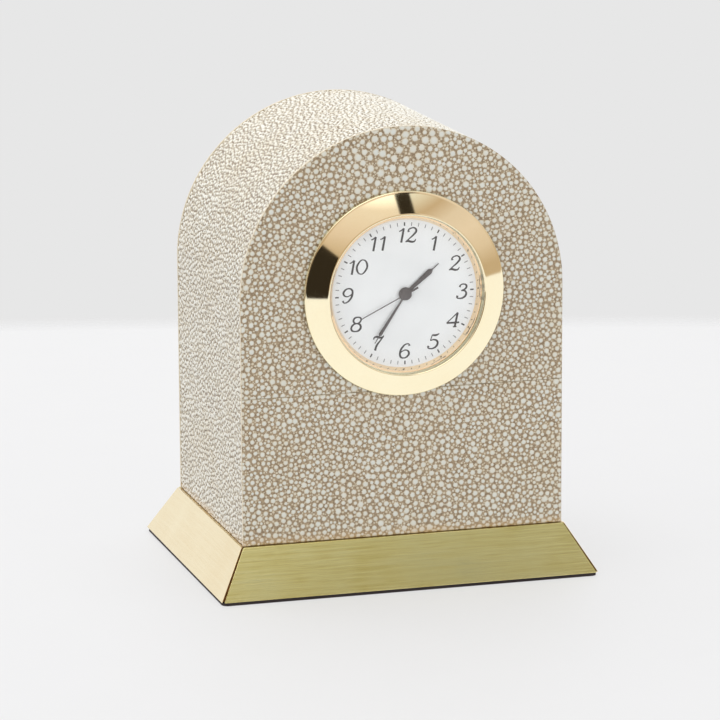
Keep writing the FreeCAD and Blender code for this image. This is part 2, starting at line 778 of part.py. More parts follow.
drilled(
    main_plate,
    [
        ("0", "0", f"{MINUTE_TUBE} + running_fit"),
        (*THIRD_AT, PIVOT),
        (*INTERMEDIATE_AT, PIVOT),
        (*ROTOR_AT, PIVOT),
        (*MOTION_AT, "setting_arbor_radius + running_fit"),
    ],
)
taps = new_sketch(main_plate, "taps", offset=f"-{BRIDGE_FRONT}")
for x, y in PILLARS_AT:
    draw_circle(taps, x, y, "small_screw_radius + seat_fit")
pocket(main_plate, taps, "small_screw_length - bridge_thickness + wheel_air", backwards=True)

bridge = new_body("train_bridge")
bridge_outline = new_sketch(bridge, "outline")
BRIDGE_LEFT = "-(pillar_left + bridge_margin)"
BRIDGE_RIGHT = f"({ROTOR_OUT} + bridge_margin)"
BRIDGE_UP = "(pillar_out + bridge_margin)"
draw_outline(
    bridge_outline,
    [
        (BRIDGE_LEFT, f"-{BRIDGE_UP}"),
        (BRIDGE_RIGHT, f"-{BRIDGE_UP}"),
        (BRIDGE_RIGHT, BRIDGE_UP),
        (BRIDGE_LEFT, BRIDGE_UP),
    ],
)
pad(bridge, bridge_outline, "bridge_thickness")
face_clock(bridge, BRIDGE_BACK)
bridge_holes = [(*at, PIVOT) for at in (CENTRE_AT, THIRD_AT, INTERMEDIATE_AT, ROTOR_AT)]
bridge_holes.append((*MOTION_AT, "setting_arbor_radius + running_fit"))
bridge_holes += [(x, y, "small_screw_radius + seat_fit") for x, y in PILLARS_AT]
drilled(bridge, bridge_holes)

small_screws = doc.addObject("Part::Compound", "movement_screws")
for number, at in enumerate(PILLARS_AT):
    stem = doc.addObject("Part::Cylinder", f"movement_stem_{number}")
    stem.setExpression("Radius", formula("small_screw_radius"))
    stem.setExpression("Height", formula("small_screw_length"))
    face_clock(stem, BRIDGE_BACK, at)
    cap = doc.addObject("Part::Cylinder", f"movement_cap_{number}")
    cap.setExpression("Radius", formula("small_screw_head"))
    cap.setExpression("Height", formula("small_screw_rise"))
    face_clock(cap, f"{BRIDGE_BACK} + small_screw_rise", at)
    one = doc.addObject("Part::Fuse", f"movement_screw_{number}")
    one.Base = stem
    one.Tool = cap
    small_screws.Links = small_screws.Links + [one]
parts.append(small_screws)

# The wheels. Each arbor turns in the plate and the bridge; mates have a tooth facing a gap.
arbor = value("arbor_radius")
tube = value(MINUTE_TUBE)
hour_tube = value(HOUR_TUBE)
thick = value("wheel_thickness")
over = value("pinion_overhang")
plate_front = value(PLATE_FRONT)
bridge_back = value(BRIDGE_BACK)
minute_layer = value(MINUTE_LAYER)
third_layer = value(THIRD_LAYER)
seconds_layer = value(SECONDS_LAYER)
intermediate_layer = value(INTERMEDIATE_LAYER)
motion_layer = value(MOTION_LAYER)
hour_layer = value(HOUR_LAYER)
to_third = math.radians(value("third_angle"))
to_rotor = 0
to_motion = math.pi / 2


def facing_gap(teeth, toward):
    """Turns a gear so that the gap beside a tooth faces its mate."""
    return toward + math.pi + math.pi / teeth


rotor_front = intermediate_layer - over - value("rotor_length") - value("stator_air")
wheel(
    "rotor",
    ROTOR_AT,
    [
        rod(value("rotor_radius"), rotor_front, rotor_front + value("rotor_length")),
        rod(arbor, plate_front, bridge_back),
        gear(
            ROTOR_TEETH,
            value("rotor_module"),
            to_rotor + math.pi,
            intermediate_layer - over,
            intermediate_layer + thick + over,
        ),
    ],
)
wheel(
    "intermediate_wheel",
    INTERMEDIATE_AT,
    [
        gear(
            INTERMEDIATE_TEETH,
            value("rotor_module"),
            facing_gap(INTERMEDIATE_TEETH, to_rotor + math.pi),
            intermediate_layer,
            intermediate_layer + thick,
        ),
        gear(
            INTERMEDIATE_LEAVES,
            value(SECONDS_MODULE),
            to_rotor + math.pi,
            seconds_layer - over,
            intermediate_layer,
        ),
        rod(arbor, plate_front, bridge_back),
    ],
)
second_front = value(f"{SECOND_HAND_BACK} - hand_thickness")
wheel(
    "seconds_wheel",
    CENTRE_AT,
    [
        gear(
            SECONDS_TEETH,
            value(SECONDS_MODULE),
            facing_gap(SECONDS_TEETH, to_rotor + math.pi),
            seconds_layer,
            seconds_layer + thick,
        ),
        gear(
            SECONDS_LEAVES,
            value(THIRD_WHEEL_MODULE),
            to_third,
            third_layer - over,
            seconds_layer,
        ),
        rod(arbor, second_front, bridge_back),
    ],
)
wheel(
    "third_wheel",
    THIRD_AT,
    [
        gear(
            THIRD_TEETH,
            value(THIRD_WHEEL_MODULE),
            facing_gap(THIRD_TEETH, to_third),
            third_layer,
            third_layer + thick,
        ),
        gear(
            THIRD_LEAVES,
            value("third_module"),
            to_third + math.pi,
            minute_layer - over,
            third_layer,
        ),
        rod(arbor, plate_front, bridge_back),
    ],
)
minute_front = value(f"{MINUTE_HAND_BACK} - hand_thickness")
wheel(
    "minute_wheel",
    CENTRE_AT,
    [
        gear(
            MINUTE_TEETH,
            value("third_module"),
            facing_gap(MINUTE_TEETH, to_third + math.pi),
            minute_layer,
            minute_layer + thick,
        ),
        gear(
            CANNON_LEAVES,
            value("motion_module"),
            to_motion,
            motion_layer - over,
            motion_layer + thick + over,
        ),
        rod(tube, minute_front, minute_layer + thick),
    ],
    bore=(value(f"{PIVOT}"), minute_front - thick, minute_layer + 2 * thick),
)
hour_front = value(f"{HOUR_HAND_BACK} - hand_thickness")
wheel(
    "hour_wheel",
    CENTRE_AT,
    [
        gear(
            HOUR_TEETH,
            value(HOUR_MODULE),
            facing_gap(HOUR_TEETH, to_motion + math.pi),
            hour_layer,
            hour_layer + thick,
        ),
        rod(hour_tube, hour_front, hour_layer + thick),
    ],
    bore=(value(f"{MINUTE_TUBE} + running_fit"), hour_front - thick, hour_layer + 2 * thick),
)
knob_front = value(f"{COVER_BACK} + knob_gap")
wheel(
    "motion_wheel",
    MOTION_AT,
    [
        gear(
            MOTION_TEETH,
            value("motion_module"),
            facing_gap(MOTION_TEETH, to_motion),
            motion_layer,
            motion_layer + thick,
        ),
        gear(
            MOTION_LEAVES,
            value(HOUR_MODULE),
            to_motion + math.pi,
            hour_layer - over,
            motion_layer,
        ),
        rod(value("setting_arbor_radius"), motion_layer, knob_front + value("knob_rise / 2")),
    ],
)

# Setting knob: fluted, pressed on the end of the motion wheel's arbor behind the back cover.
knob = value("knob_radius")
flutes = int(value("knob_flutes"))
flute_points = []
for number in range(2 * flutes):
    radius = knob if number % 2 else knob - value("knob_flute_depth")
    angle = math.pi * number / flutes
    flute_points.append(V(radius * math.cos(angle), radius * math.sin(angle), 0))
knob_face = Part.Face(Part.makePolygon(flute_points + flute_points[:1]))
knob_face.translate(V(0, 0, -knob_front - value("knob_rise")))
knob_body = knob_face.extrude(V(0, 0, value("knob_rise")))
wheel(
    "setting_knob",
    MOTION_AT,
    [knob_body],
    bore=(
        value("setting_arbor_radius + seat_fit"),
        knob_front - thick,
        knob_front + value("knob_rise / 2 + seat_fit"),
    ),
)

# Step motor: a C-shaped stator plate round the rotor, closed by the coil's core.
stator = new_body("stator")
stator_outline = new_sketch(stator, "outline")
draw_outline(
    stator_outline,
    [
        (STATOR_LEFT, f"-{STATOR_HALF}"),
        (CORE_RIGHT, f"-{STATOR_HALF}"),
        (CORE_RIGHT, f"-{ARM_IN}"),
        (STATOR_RIGHT, f"-{ARM_IN}"),
        (STATOR_RIGHT, ARM_IN),
        (CORE_RIGHT, ARM_IN),
        (CORE_RIGHT, STATOR_HALF),
        (STATOR_LEFT, STATOR_HALF),
    ],
)
pad(stator, stator_outline, "stator_thickness")
face_clock(stator, f"{STATOR_FRONT} + stator_thickness")
stator_holes = [(*ROTOR_AT, "rotor_radius + stator_air")]
stator_holes += [(x, y, "pillar_radius + seat_fit") for x, y in PILLARS_AT[1:]]
drilled(stator, stator_holes)

core = doc.addObject("Part::Box", "coil_core")
core.setExpression("Length", formula("core_width"))
core.setExpression("Width", formula(f"2 * {STATOR_HALF}"))
core.setExpression("Height", formula("core_thickness"))
face_clock(
    core,
    f"{CORE_FRONT} + core_thickness",
    (f"{CORE_OUT} - core_width / 2", f"-{STATOR_HALF}"),
)
parts.append(core)

winding = new_body("coil_winding")
winding_section = new_sketch(winding, "section", "XZ_Plane")
draw_circle(winding_section, "0", "0", WINDING_RADIUS)
draw_box(winding_section, "core_width / 2 + seat_fit", "core_thickness / 2 + seat_fit")
pad(winding, winding_section, f"2 * ({ARM_IN} - winding_end)", both_ways=True)
face_clock(winding, f"{CORE_FRONT} + core_thickness / 2", (CORE_OUT, "0"))

# Circuit board on the main plate's bosses, with its chip and quartz crystal.
BOARD_BACK = f"({PLATE_BACK} + board_lift + board_thickness)"
board = doc.addObject("Part::Box", "circuit_board")
board.setExpression("Length", formula("board_width"))
board.setExpression("Width", formula("board_height"))
board.setExpression("Height", formula("board_thickness"))
face_clock(board, BOARD_BACK, ("-board_width / 2", f"-{BOARD_LOW}"))
parts.append(board)

chip = doc.addObject("Part::Cone", "chip_cap")
chip.setExpression("Radius1", formula("chip_radius / 2"))
chip.setExpression("Radius2", formula("chip_radius"))
chip.setExpression("Height", formula("chip_rise"))
face_clock(chip, f"{BOARD_BACK} + chip_rise", ("0", BOARD_Y))
parts.append(chip)

crystal = doc.addObject("Part::Cylinder", "quartz_crystal")
crystal.setExpression("Radius", formula("crystal_radius"))
crystal.setExpression("Height", formula("crystal_length"))
place(
    crystal,
    "-crystal_length / 2",
    f"-{BODY_DEPTH} / 2 + {PLATE_BACK} + board_lift - crystal_radius",
    f"{CLOCK_HEIGHT} + {BOARD_Y}",
    FreeCAD.Rotation(V(0, 1, 0), 90),
)
parts.append(crystal)

# Battery: a button cell in a round tray behind the bridge, between two spring contacts.
tray = turned(
    "battery_tray",
    [
        ("0", f"-{BRIDGE_BACK}"),
        ("0", f"-{TRAY_FLOOR}"),
        (TRAY_IN, f"-{TRAY_FLOOR}"),
        (TRAY_IN, f"-{CELL_BACK}"),
        (TRAY_OUT, f"-{CELL_BACK}"),
        (TRAY_OUT, f"-{BRIDGE_BACK}"),
    ],
    at=BATTERY_AT,
)
doc.recompute()
slot = new_sketch(tray, "contact_slot", offset=f"-{CELL_BACK}")
SLOT_HALF = "(contact_width / 2 + contact_gap)"
draw_outline(
    slot,
    [
        ("battery_radius", f"-{SLOT_HALF}"),
        (f"{TRAY_OUT} + tray_wall", f"-{SLOT_HALF}"),
        (f"{TRAY_OUT} + tray_wall", SLOT_HALF),
        ("battery_radius", SLOT_HALF),
    ],
)
pocket(tray, slot, f"{CELL_BACK} - {TRAY_FLOOR}", backwards=True)

cell = doc.addObject("Part::Cylinder", "battery")
cell.setExpression("Radius", formula("battery_radius"))
cell.setExpression("Height", formula("battery_height"))
face_clock(cell, CELL_BACK, BATTERY_AT)
parts.append(cell)

minus_contact = doc.addObject("Part::Box", "battery_contact_minus")
minus_contact.setExpression("Length", formula("2 * contact_reach_share * battery_radius"))
minus_contact.setExpression("Width", formula("contact_width"))
minus_contact.setExpression("Height", formula("contact_thickness"))
face_clock(
    minus_contact,
    CELL_FRONT,
    ("-contact_reach_share * battery_radius", f"-{BATTERY_DROP} - contact_width / 2"),
)
parts.append(minus_contact)

plus_contact = doc.addObject("Part::Box", "battery_contact_plus")
plus_contact.setExpression("Length", formula("contact_thickness"))
plus_contact.setExpression("Width", formula("contact_width"))
plus_contact.setExpression("Height", formula("contact_rise_share * battery_height"))
face_clock(
    plus_contact,
    f"{TRAY_FLOOR} + contact_rise_share * battery_height",
    ("battery_radius + contact_gap", f"-{BATTERY_DROP} - contact_width / 2"),
)
parts.append(plus_contact)

# Back cover of the insert, with the bayonet opening for the battery hatch.
back = turned(
    "insert_back_cover",
    [
        ("0", f"-{COVER_BACK}"),
        (CUP_RADIUS, f"-{COVER_BACK}"),
        (CUP_RADIUS, f"-{CUP_DEPTH}"),
        (f"{CUP_INNER} - stack_fit", f"-{CUP_DEPTH}"),
        (f"{CUP_INNER} - stack_fit", f"-({CUP_DEPTH} - spigot_length)"),
        (f"{CUP_INNER} - stack_fit - spigot_wall", f"-({CUP_DEPTH} - spigot_length)"),
        (f"{CUP_INNER} - stack_fit - spigot_wall", f"-{CUP_DEPTH}"),
        ("0", f"-{CUP_DEPTH}"),
    ],
)
drilled(
    back,
    [
        (*BATTERY_AT, f"{HATCH_RADIUS} + running_fit"),
        (*MOTION_AT, "setting_arbor_radius + running_fit"),
    ],
)
LUG_REACH = f"({HATCH_RADIUS} + hatch_lug_reach)"
LUG_HALF = "(hatch_lug_width / 2)"
entry = new_sketch(back, "lug_entry")
entry_corners = []
for i, j in ((-1, -1), (1, -1), (1, 1), (-1, 1)):
    along = f"{i} * ({LUG_REACH} + contact_gap)"
    across = f"{j} * ({LUG_HALF} + contact_gap)"
    turn_cos = "cos(hatch_turn * 1 deg)"
    turn_sin = "sin(hatch_turn * 1 deg)"
    entry_corners.append(
        (
            f"{along} * {turn_cos} + {across} * {turn_sin}",
            f"-{BATTERY_DROP} - {along} * {turn_sin} + {across} * {turn_cos}",
        )
    )
draw_outline(entry, entry_corners)
pocket(back, entry)

hatch = turned(
    "battery_hatch",
    [
        ("0", f"-({COVER_BACK} + hatch_rim_rise)"),
        (f"{HATCH_RADIUS} + hatch_rim", f"-({COVER_BACK} + hatch_rim_rise)"),
        (f"{HATCH_RADIUS} + hatch_rim", f"-{COVER_BACK}"),
        (HATCH_RADIUS, f"-{COVER_BACK}"),
        (HATCH_RADIUS, f"-({CUP_DEPTH} - contact_gap)"),
        ("hatch_boss_radius", f"-({CUP_DEPTH} - contact_gap)"),
        ("hatch_boss_radius", f"-({CELL_BACK} + contact_gap)"),
        ("0", f"-({CELL_BACK} + contact_gap)"),
    ],
    at=BATTERY_AT,
)
doc.recompute()
lugs = new_sketch(hatch, "lugs", offset=f"-({CUP_DEPTH} - contact_gap)")
draw_box(lugs, LUG_REACH, LUG_HALF)
pad(hatch, lugs, "hatch_lug_rise")
coin = new_sketch(hatch, "coin_slot", offset=f"-({COVER_BACK} + hatch_rim_rise)")
draw_box(coin, "hatch_slot_length / 2", "hatch_slot_width / 2")
pocket(hatch, coin, "hatch_slot_depth", backwards=True)


# Hands: flat blades with a round hub, turned to the time shown.
def hand(label, blade, hub, bore, back_depth, angle):
    """A flat hand: a blade that points up in its own plan, joined to its hub."""
    body = new_body(label)
    outline = new_sketch(body, "blade")
    draw_outline(outline, blade)
    pad(body, outline, "hand_thickness")
    disc = new_sketch(body, "hub")
    draw_circle(disc, "0", "0", hub)
    pad(body, disc, "hand_thickness")
    drilled(body, [("0", "0", bore)])
    body.Placement = FreeCAD.Placement()
    turn = FreeCAD.Rotation(V(0, 0, 1), -value(angle))
    place(body, "0", f"-{BODY_DEPTH} / 2 + {back_depth}", CLOCK_HEIGHT, FACING * turn)


# Half widths and distances out along a blade, as shares of its width and length.
HOUR_BLADE_SHARES = [(0.26, 0), (0.50, 0.74), (0.10, 0.82), (0.08, 1)]
MINUTE_BLADE_SHARES = [(0.24, 0), (0.50, 0.77), (0.15, 0.85), (0.12, 1)]


def blade_outline(width, length, shares):
    """The outline of a blade that is alike on both sides of its middle line."""
    right = []
    left = []
    for across, along in shares:
        out = f"{along} * {length}" if along else "0"
        right.append((f"{across} * {width}", out))
        left.append((f"-{across} * {width}", out))
    return right + left[::-1]


hand(
    "hour_hand",
    blade_outline("hour_hand_width", "hour_hand_length", HOUR_BLADE_SHARES),
    "hour_hub_radius",
    f"{HOUR_TUBE} + seat_fit",
    HOUR_HAND_BACK,
    "hour_angle",
)
hand(
    "minute_hand",
    blade_outline("minute_hand_width", "minute_hand_length", MINUTE_BLADE_SHARES),
    "minute_hub_radius",
    f"{MINUTE_TUBE} + seat_fit",
    MINUTE_HAND_BACK,
    "minute_angle",
)
hand(
    "second_hand",
    [
        ("-second_tail_width / 2", "-second_tail_length"),
        ("second_tail_width / 2", "-second_tail_length"),
        ("second_tail_width / 2", "0"),
        ("second_hand_width / 2", "0"),
        ("second_hand_width / 2", "second_hand_length"),
        ("-second_hand_width / 2", "second_hand_length"),
        ("-second_hand_width / 2", "0"),
        ("-second_tail_width / 2", "0"),
    ],
    "second_hub_radius",
    "arbor_radius + seat_fit",
    SECOND_HAND_BACK,
    "second_angle",
)

doc.recompute()

for item in doc.Objects:
    if "Invalid" in item.State or "Error" in item.State:
        raise RuntimeError(f"{item.Name} failed: {item.State}")
for part in parts:
    if part.Shape.isNull() or not part.Shape.isValid() or not part.Shape.Solids:
        raise RuntimeError(f"{part.Label} has no valid solid")

os.makedirs("parts", exist_ok=True)
for part in parts:
    part.Shape.exportStep(f"parts/{part.Label}.step")
    box = part.Shape.BoundBox
    print(
        f"{part.Label:24s} solids {len(part.Shape.Solids)} volume {part.Shape.Volume:10.2f} "
        f"x {box.XMin:7.2f} {box.XMax:7.2f} y {box.YMin:7.2f} {box.YMax:7.2f} "
        f"z {box.ZMin:7.2f} {box.ZMax:7.2f}"
    )
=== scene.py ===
"""Arch-topped desk clock covered in shagreen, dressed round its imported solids.

Lengths are in millimetres and angles in degrees; MM brings lengths to metres where a mesh is made.
"""

import logging
import math
import random
from collections import defaultdict
from collections.abc import Callable, Iterable, Iterator, Sequence
from contextlib import contextmanager
from dataclasses import dataclass, field
from enum import Enum
from functools import reduce

import bpy
from mathutils import Matrix, Vector
from mathutils.geometry import delaunay_2d_cdt

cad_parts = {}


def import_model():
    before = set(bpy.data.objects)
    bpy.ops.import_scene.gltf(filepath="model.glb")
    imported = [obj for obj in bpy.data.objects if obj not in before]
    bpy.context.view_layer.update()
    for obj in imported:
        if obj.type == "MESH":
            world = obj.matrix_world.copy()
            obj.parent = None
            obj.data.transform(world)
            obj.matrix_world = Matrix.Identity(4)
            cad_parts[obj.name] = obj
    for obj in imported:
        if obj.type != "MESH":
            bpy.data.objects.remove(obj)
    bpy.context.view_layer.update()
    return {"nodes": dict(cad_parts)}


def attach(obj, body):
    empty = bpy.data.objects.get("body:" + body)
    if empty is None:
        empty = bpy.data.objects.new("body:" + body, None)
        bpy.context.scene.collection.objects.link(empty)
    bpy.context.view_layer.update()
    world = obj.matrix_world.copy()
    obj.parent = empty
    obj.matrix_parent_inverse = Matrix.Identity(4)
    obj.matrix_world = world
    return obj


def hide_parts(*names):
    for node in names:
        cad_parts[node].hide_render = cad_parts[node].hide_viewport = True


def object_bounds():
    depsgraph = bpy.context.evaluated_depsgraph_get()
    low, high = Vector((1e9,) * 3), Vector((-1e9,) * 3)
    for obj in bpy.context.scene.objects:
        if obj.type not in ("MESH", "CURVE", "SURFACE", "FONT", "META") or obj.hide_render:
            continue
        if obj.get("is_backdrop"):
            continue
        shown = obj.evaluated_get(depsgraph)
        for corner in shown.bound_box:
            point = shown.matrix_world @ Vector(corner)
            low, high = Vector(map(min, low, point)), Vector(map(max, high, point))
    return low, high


LOG = logging.getLogger("clock")
MM = 0.001
CLOCK_Z = 72.4
FACE_Y = -31.5
MERGE = 0.002  # points nearer than this are one
MIDDLE = (0.36, 0.64)  # the range of a noise over which colours change
MOST = (0.3, 0.7)  # the range of a noise over which roughness changes

Flat = tuple[float, float]
Spot = tuple[float, float, float]
Paint = tuple[float, float, float, float]
Sides = tuple[float, float, float, float]
Piece = bpy.types.Object
Socket = bpy.types.NodeSocket


def paint(*screen: float) -> Paint:
    """Turn a colour as seen on a screen into the linear one that shaders take.

    Args:
        *screen: Red, green and blue, 0 to 255.

    Returns:
        The linear colour with an alpha of one.
    """
    shares = [value / 255.0 for value in screen]
    linear = [s / 12.92 if s <= 0.04045 else ((s + 0.055) / 1.055) ** 2.4 for s in shares]
    return (*linear, 1.0)


class Steps:
    """A node tree, written one step at a time."""

    def __init__(self, tree: bpy.types.NodeTree) -> None:
        """Clear a tree and take it up."""
        self.tree = tree
        self.tree.nodes.clear()

    def feed(self, target: Socket, value: object) -> None:
        """Link or set one input.

        Args:
            target: The input.
            value: A socket, a number or a colour; a colour of three numbers is as seen on a screen.
        """
        if isinstance(value, Socket):
            self.tree.links.new(value, target)
        elif target.type == "RGBA" and len(value) == 3:
            target.default_value = paint(*value)
        else:
            target.default_value = value

    def add(self, kind: str, feeds: dict | None = None, **settings: object) -> bpy.types.Node:
        """Add a node.

        Args:
            kind: The node's type, less the word that all of them start with.
            feeds: What goes into its inputs, by name or number.
            **settings: Attributes set on it.

        Returns:
            The new node.
        """
        node = self.tree.nodes.new(f"ShaderNode{kind}")
        for key, value in settings.items():
            setattr(node, key, value)
        for key, value in (feeds or {}).items():
            self.feed(node.inputs[key], value)
        return node

    def place(self, stretch: Spot = (1.0, 1.0, 1.0), turn: float = 0.0) -> Socket:
        """Give the place on the piece in millimetres; a small stretch draws a pattern out."""
        feeds = {"Vector": self.add("TexCoord").outputs["Object"], "Rotation": (0.0, 0.0, turn)}
        return self.add("Mapping", feeds | {"Scale": [s / MM for s in stretch]}).outputs["Vector"]

    def noise(self, where: Socket, scale: float, detail: float = 3.0, rough: float = 0.6) -> Socket:
        """Give a noise value between 0 and 1; the scale is in grains per millimetre."""
        feeds = {"Vector": where, "Scale": scale, "Detail": detail, "Roughness": rough}
        return self.add("TexNoise", feeds).outputs["Fac"]

    def span(
        self, fac: Socket, low: float, high: float, first: float = 0.0, last: float = 1.0
    ) -> Socket:
        """Map a value from one range to another, and keep it inside."""
        feeds = {"Value": fac, "From Min": low, "From Max": high, "To Min": first, "To Max": last}
        return self.add("MapRange", feeds, clamp=True).outputs["Result"]

    def work(self, kind: str, first: object, second: object = 0.0) -> Socket:
        """Work out one step of arithmetic on sockets or numbers."""
        return self.add("Math", {0: first, 1: second}, operation=kind).outputs[0]

    def weigh(self, first: Socket, second: Socket, share: float) -> Socket:
        """Add two values up, the first by its share and the second by the rest."""
        rest = self.work("MULTIPLY", second, 1.0 - share)
        return self.work("ADD", self.work("MULTIPLY", first, share), rest)

    def blend(self, fac: object, first: object, second: object) -> Socket:
        """Mix two colours by the share of the second."""
        return self.add("Mix", {0: fac, 6: first, 7: second}, data_type="RGBA").outputs[2]

    def parts(self, vector: Socket) -> list[Socket]:
        """Split a vector into its three values."""
        return self.add("SeparateXYZ", {0: vector}).outputs[:]

    def attribute(self, name: str) -> bpy.types.Node:
        """Read a mesh attribute."""
        return self.add("Attribute", attribute_type="GEOMETRY", attribute_name=name)

    def ramp(self, fac: Socket, stops: Sequence[tuple[float, Spot]]) -> Socket:
        """Map a value to colours.

        Args:
            fac: The value.
            stops: Pairs of place and linear colour.

        Returns:
            The colour.
        """
        node = self.add("ValToRGB", {"Fac": fac})
        bar = node.color_ramp.elements
        while len(bar) < len(stops):
            bar.new(0.5)
        for element, (at, colour) in zip(bar, stops):
            element.position = at
            element.color = (*colour, 1.0)
        return node.outputs["Color"]


class Recipe(Steps):
    """A material with one Principled shader."""

    def __init__(self, name: str) -> None:
        """Start the material.

        Args:
            name: The material's name.
        """
        self.material = bpy.data.materials.new(name)
        self.material.use_nodes = True
        super().__init__(self.material.node_tree)
        self.shader = self.add("BsdfPrincipled")
        output = self.add("OutputMaterial", {"Surface": self.shader.outputs[0]})
        self.surface = output.inputs["Surface"]

    def set(self, **values: object) -> None:
        """Feed the shader's own sockets; an underscore in a name stands for a space."""
        for key, value in values.items():
            self.feed(self.shader.inputs[key.replace("_", " ")], value)

    def bump(self, height: Socket, depth: float, strength: float) -> None:
        """Give the shader a relief, as deep as said in millimetres for a step of one."""
        feeds = {"Height": height, "Distance": depth * MM, "Strength": strength}
        self.set(Normal=self.add("Bump", feeds).outputs["Normal"])


class Grain(Enum):
    """Ways that a brushed or sawn surface runs."""

    NONE = (1.0, 1.0, 1.0)
    X = (0.03, 1.0, 1.0)
    Y = (1.0, 0.03, 1.0)
    Z = (1.0, 1.0, 0.05)


@dataclass(frozen=True)
class Finish:
    """A finish; each kind writes its own shader, and takes colours as seen on a screen."""

    name: str

    def write(self, r: Recipe) -> None:
        """Write the shader; each kind has its own."""

    def make(self) -> bpy.types.Material:
        """Make the material.

        Returns:
            The material.
        """
        recipe = Recipe(self.name)
        self.write(recipe)
        return recipe.material


@dataclass(frozen=True)
class ShagreenFinish(Finish):
    """Ray skin sanded flat: pale pebbles of two sizes in a taupe ground."""

    large: Spot = (196, 196, 187)
    heart: Spot = (194, 198, 195)
    small: Spot = (190, 181, 161)
    rim: Spot = (176, 162, 136)
    ground: Spot = (154, 136, 108)
    groove: Spot = (114, 95, 70)
    edge: Spot = (198, 186, 160)
    tan: Spot = (190, 154, 100)
    tone: Spot = (210, 208, 197)
    warm: Spot = (196, 182, 154)
    cloud_grain: float = 0.09
    speck_grain: float = 2.6
    foot: Flat = (12.5, 14.8)
    vary: float = 0.3

    def write(self, r: Recipe) -> None:
        """Write the shader; the mesh says which face is pebble, ground or cut edge.

        Args:
            r: The recipe.
        """
        kind, tone, big = r.parts(r.attribute("skin").outputs["Vector"])
        rise = r.attribute("rise").outputs["Fac"]
        where = r.place()
        cloud = r.noise(where, self.cloud_grain)
        speck = r.noise(where, self.speck_grain)
        ground = r.blend(r.span(speck, 0.35, 0.62), self.groove, self.ground)
        plain = r.blend(big, self.small, self.large)
        rimmed = r.blend(r.span(rise, 0.0, 0.62), self.rim, plain)
        centre = r.work("MULTIPLY", r.span(rise, 0.5, 1.0, 0.0, 0.9), big)
        hearted = r.blend(centre, rimmed, self.heart)
        toned = r.blend(r.span(tone, 0.0, 1.0, 0.0, self.vary), hearted, self.tone)
        warmed = r.blend(r.span(cloud, 0.42, 0.72, 0.0, self.vary), toned, self.warm)
        pebble = r.blend(r.span(kind, 0.2, 0.6), ground, warmed)
        edged = r.blend(r.span(kind, 0.85, 0.95), pebble, self.edge)
        # Pebbles and ground turn tan, unevenly, towards the foot of the skin.
        low = r.span(r.parts(where)[2], *self.foot, 0.5, 0.0)
        foot_tint = r.work("MULTIPLY", low, r.span(cloud, 0.3, 0.6, 0.4, 1.0))
        r.set(Base_Color=r.blend(foot_tint, edged, self.tan), IOR=1.5)
        r.set(Roughness=r.span(speck, 0.2, 0.8, 0.34, 0.52), Coat_Weight=0.55, Coat_Roughness=0.3)
        r.bump(speck, 0.02, 0.5)


@dataclass(frozen=True)
class MetalFinish(Finish):
    """A metal with brushing, clouding and fine scratches."""

    colour: Spot
    shade: Spot
    rough: float
    brush: float = 0.4
    spread: float = 0.08
    grain: Grain = Grain.NONE

    def write(self, r: Recipe) -> None:
        """Write the shader.

        Args:
            r: The recipe.
        """
        brushed = self.grain is not Grain.NONE
        lines = r.noise(r.place(self.grain.value), 2.0 if brushed else 1.4, 5.0, 0.7)
        mixed = r.weigh(lines, r.noise(r.place(), 0.07, 3.0, 0.55), self.brush)
        dull, bright = self.rough + self.spread, max(self.rough - self.spread, 0.02)
        r.set(Base_Color=r.blend(r.span(mixed, *MIDDLE), self.shade, self.colour), Metallic=1.0)
        r.set(Roughness=r.span(mixed, *MOST, dull, bright))
        r.bump(lines, 0.012 if brushed else 0.001, 0.35)


@dataclass(frozen=True)
class SolidFinish(Finish):
    """A moulded, painted or printed surface with fine texture and clouding."""

    colour: Spot
    shade: Spot
    rough: float
    texture: float = 3.0
    depth: float = 0.01
    clouding: float = 0.12
    glow: float = 0.0

    def write(self, r: Recipe) -> None:
        """Write the shader.

        Args:
            r: The recipe.
        """
        where = r.place()
        fine = r.noise(where, self.texture)
        mixed = r.weigh(fine, r.noise(where, self.clouding, 2.0, 0.5), 0.5)
        r.set(Base_Color=r.blend(r.span(mixed, *MIDDLE), self.shade, self.colour))
        r.set(Roughness=r.span(fine, *MOST, self.rough - 0.05, self.rough + 0.07))
        if self.glow:
            r.set(Subsurface_Weight=self.glow, Subsurface_Scale=0.0015)
        r.bump(fine, self.depth, 0.5)


@dataclass(frozen=True)
class WoodFinish(Finish):
    """Sawn board with growth lines and pores."""

    light: Spot
    dark: Spot
    grain: Grain = Grain.Z
    rings: float = 7.0

    def write(self, r: Recipe) -> None:
        """Write the shader.

        Args:
            r: The recipe.
        """
        figure = r.noise(r.place(self.grain.value), 0.35, 4.0)
        pores = r.noise(r.place(self.grain.value), 4.0, 3.0, 0.7)
        mixed = r.weigh(r.work("FRACT", r.work("MULTIPLY", figure, self.rings)), pores, 0.45)
        r.set(Base_Color=r.blend(r.span(mixed, 0.2, 0.75), self.dark, self.light))
        r.set(Roughness=r.span(pores, *MOST, 0.75, 0.55))
        r.bump(mixed, 0.05, 0.5)


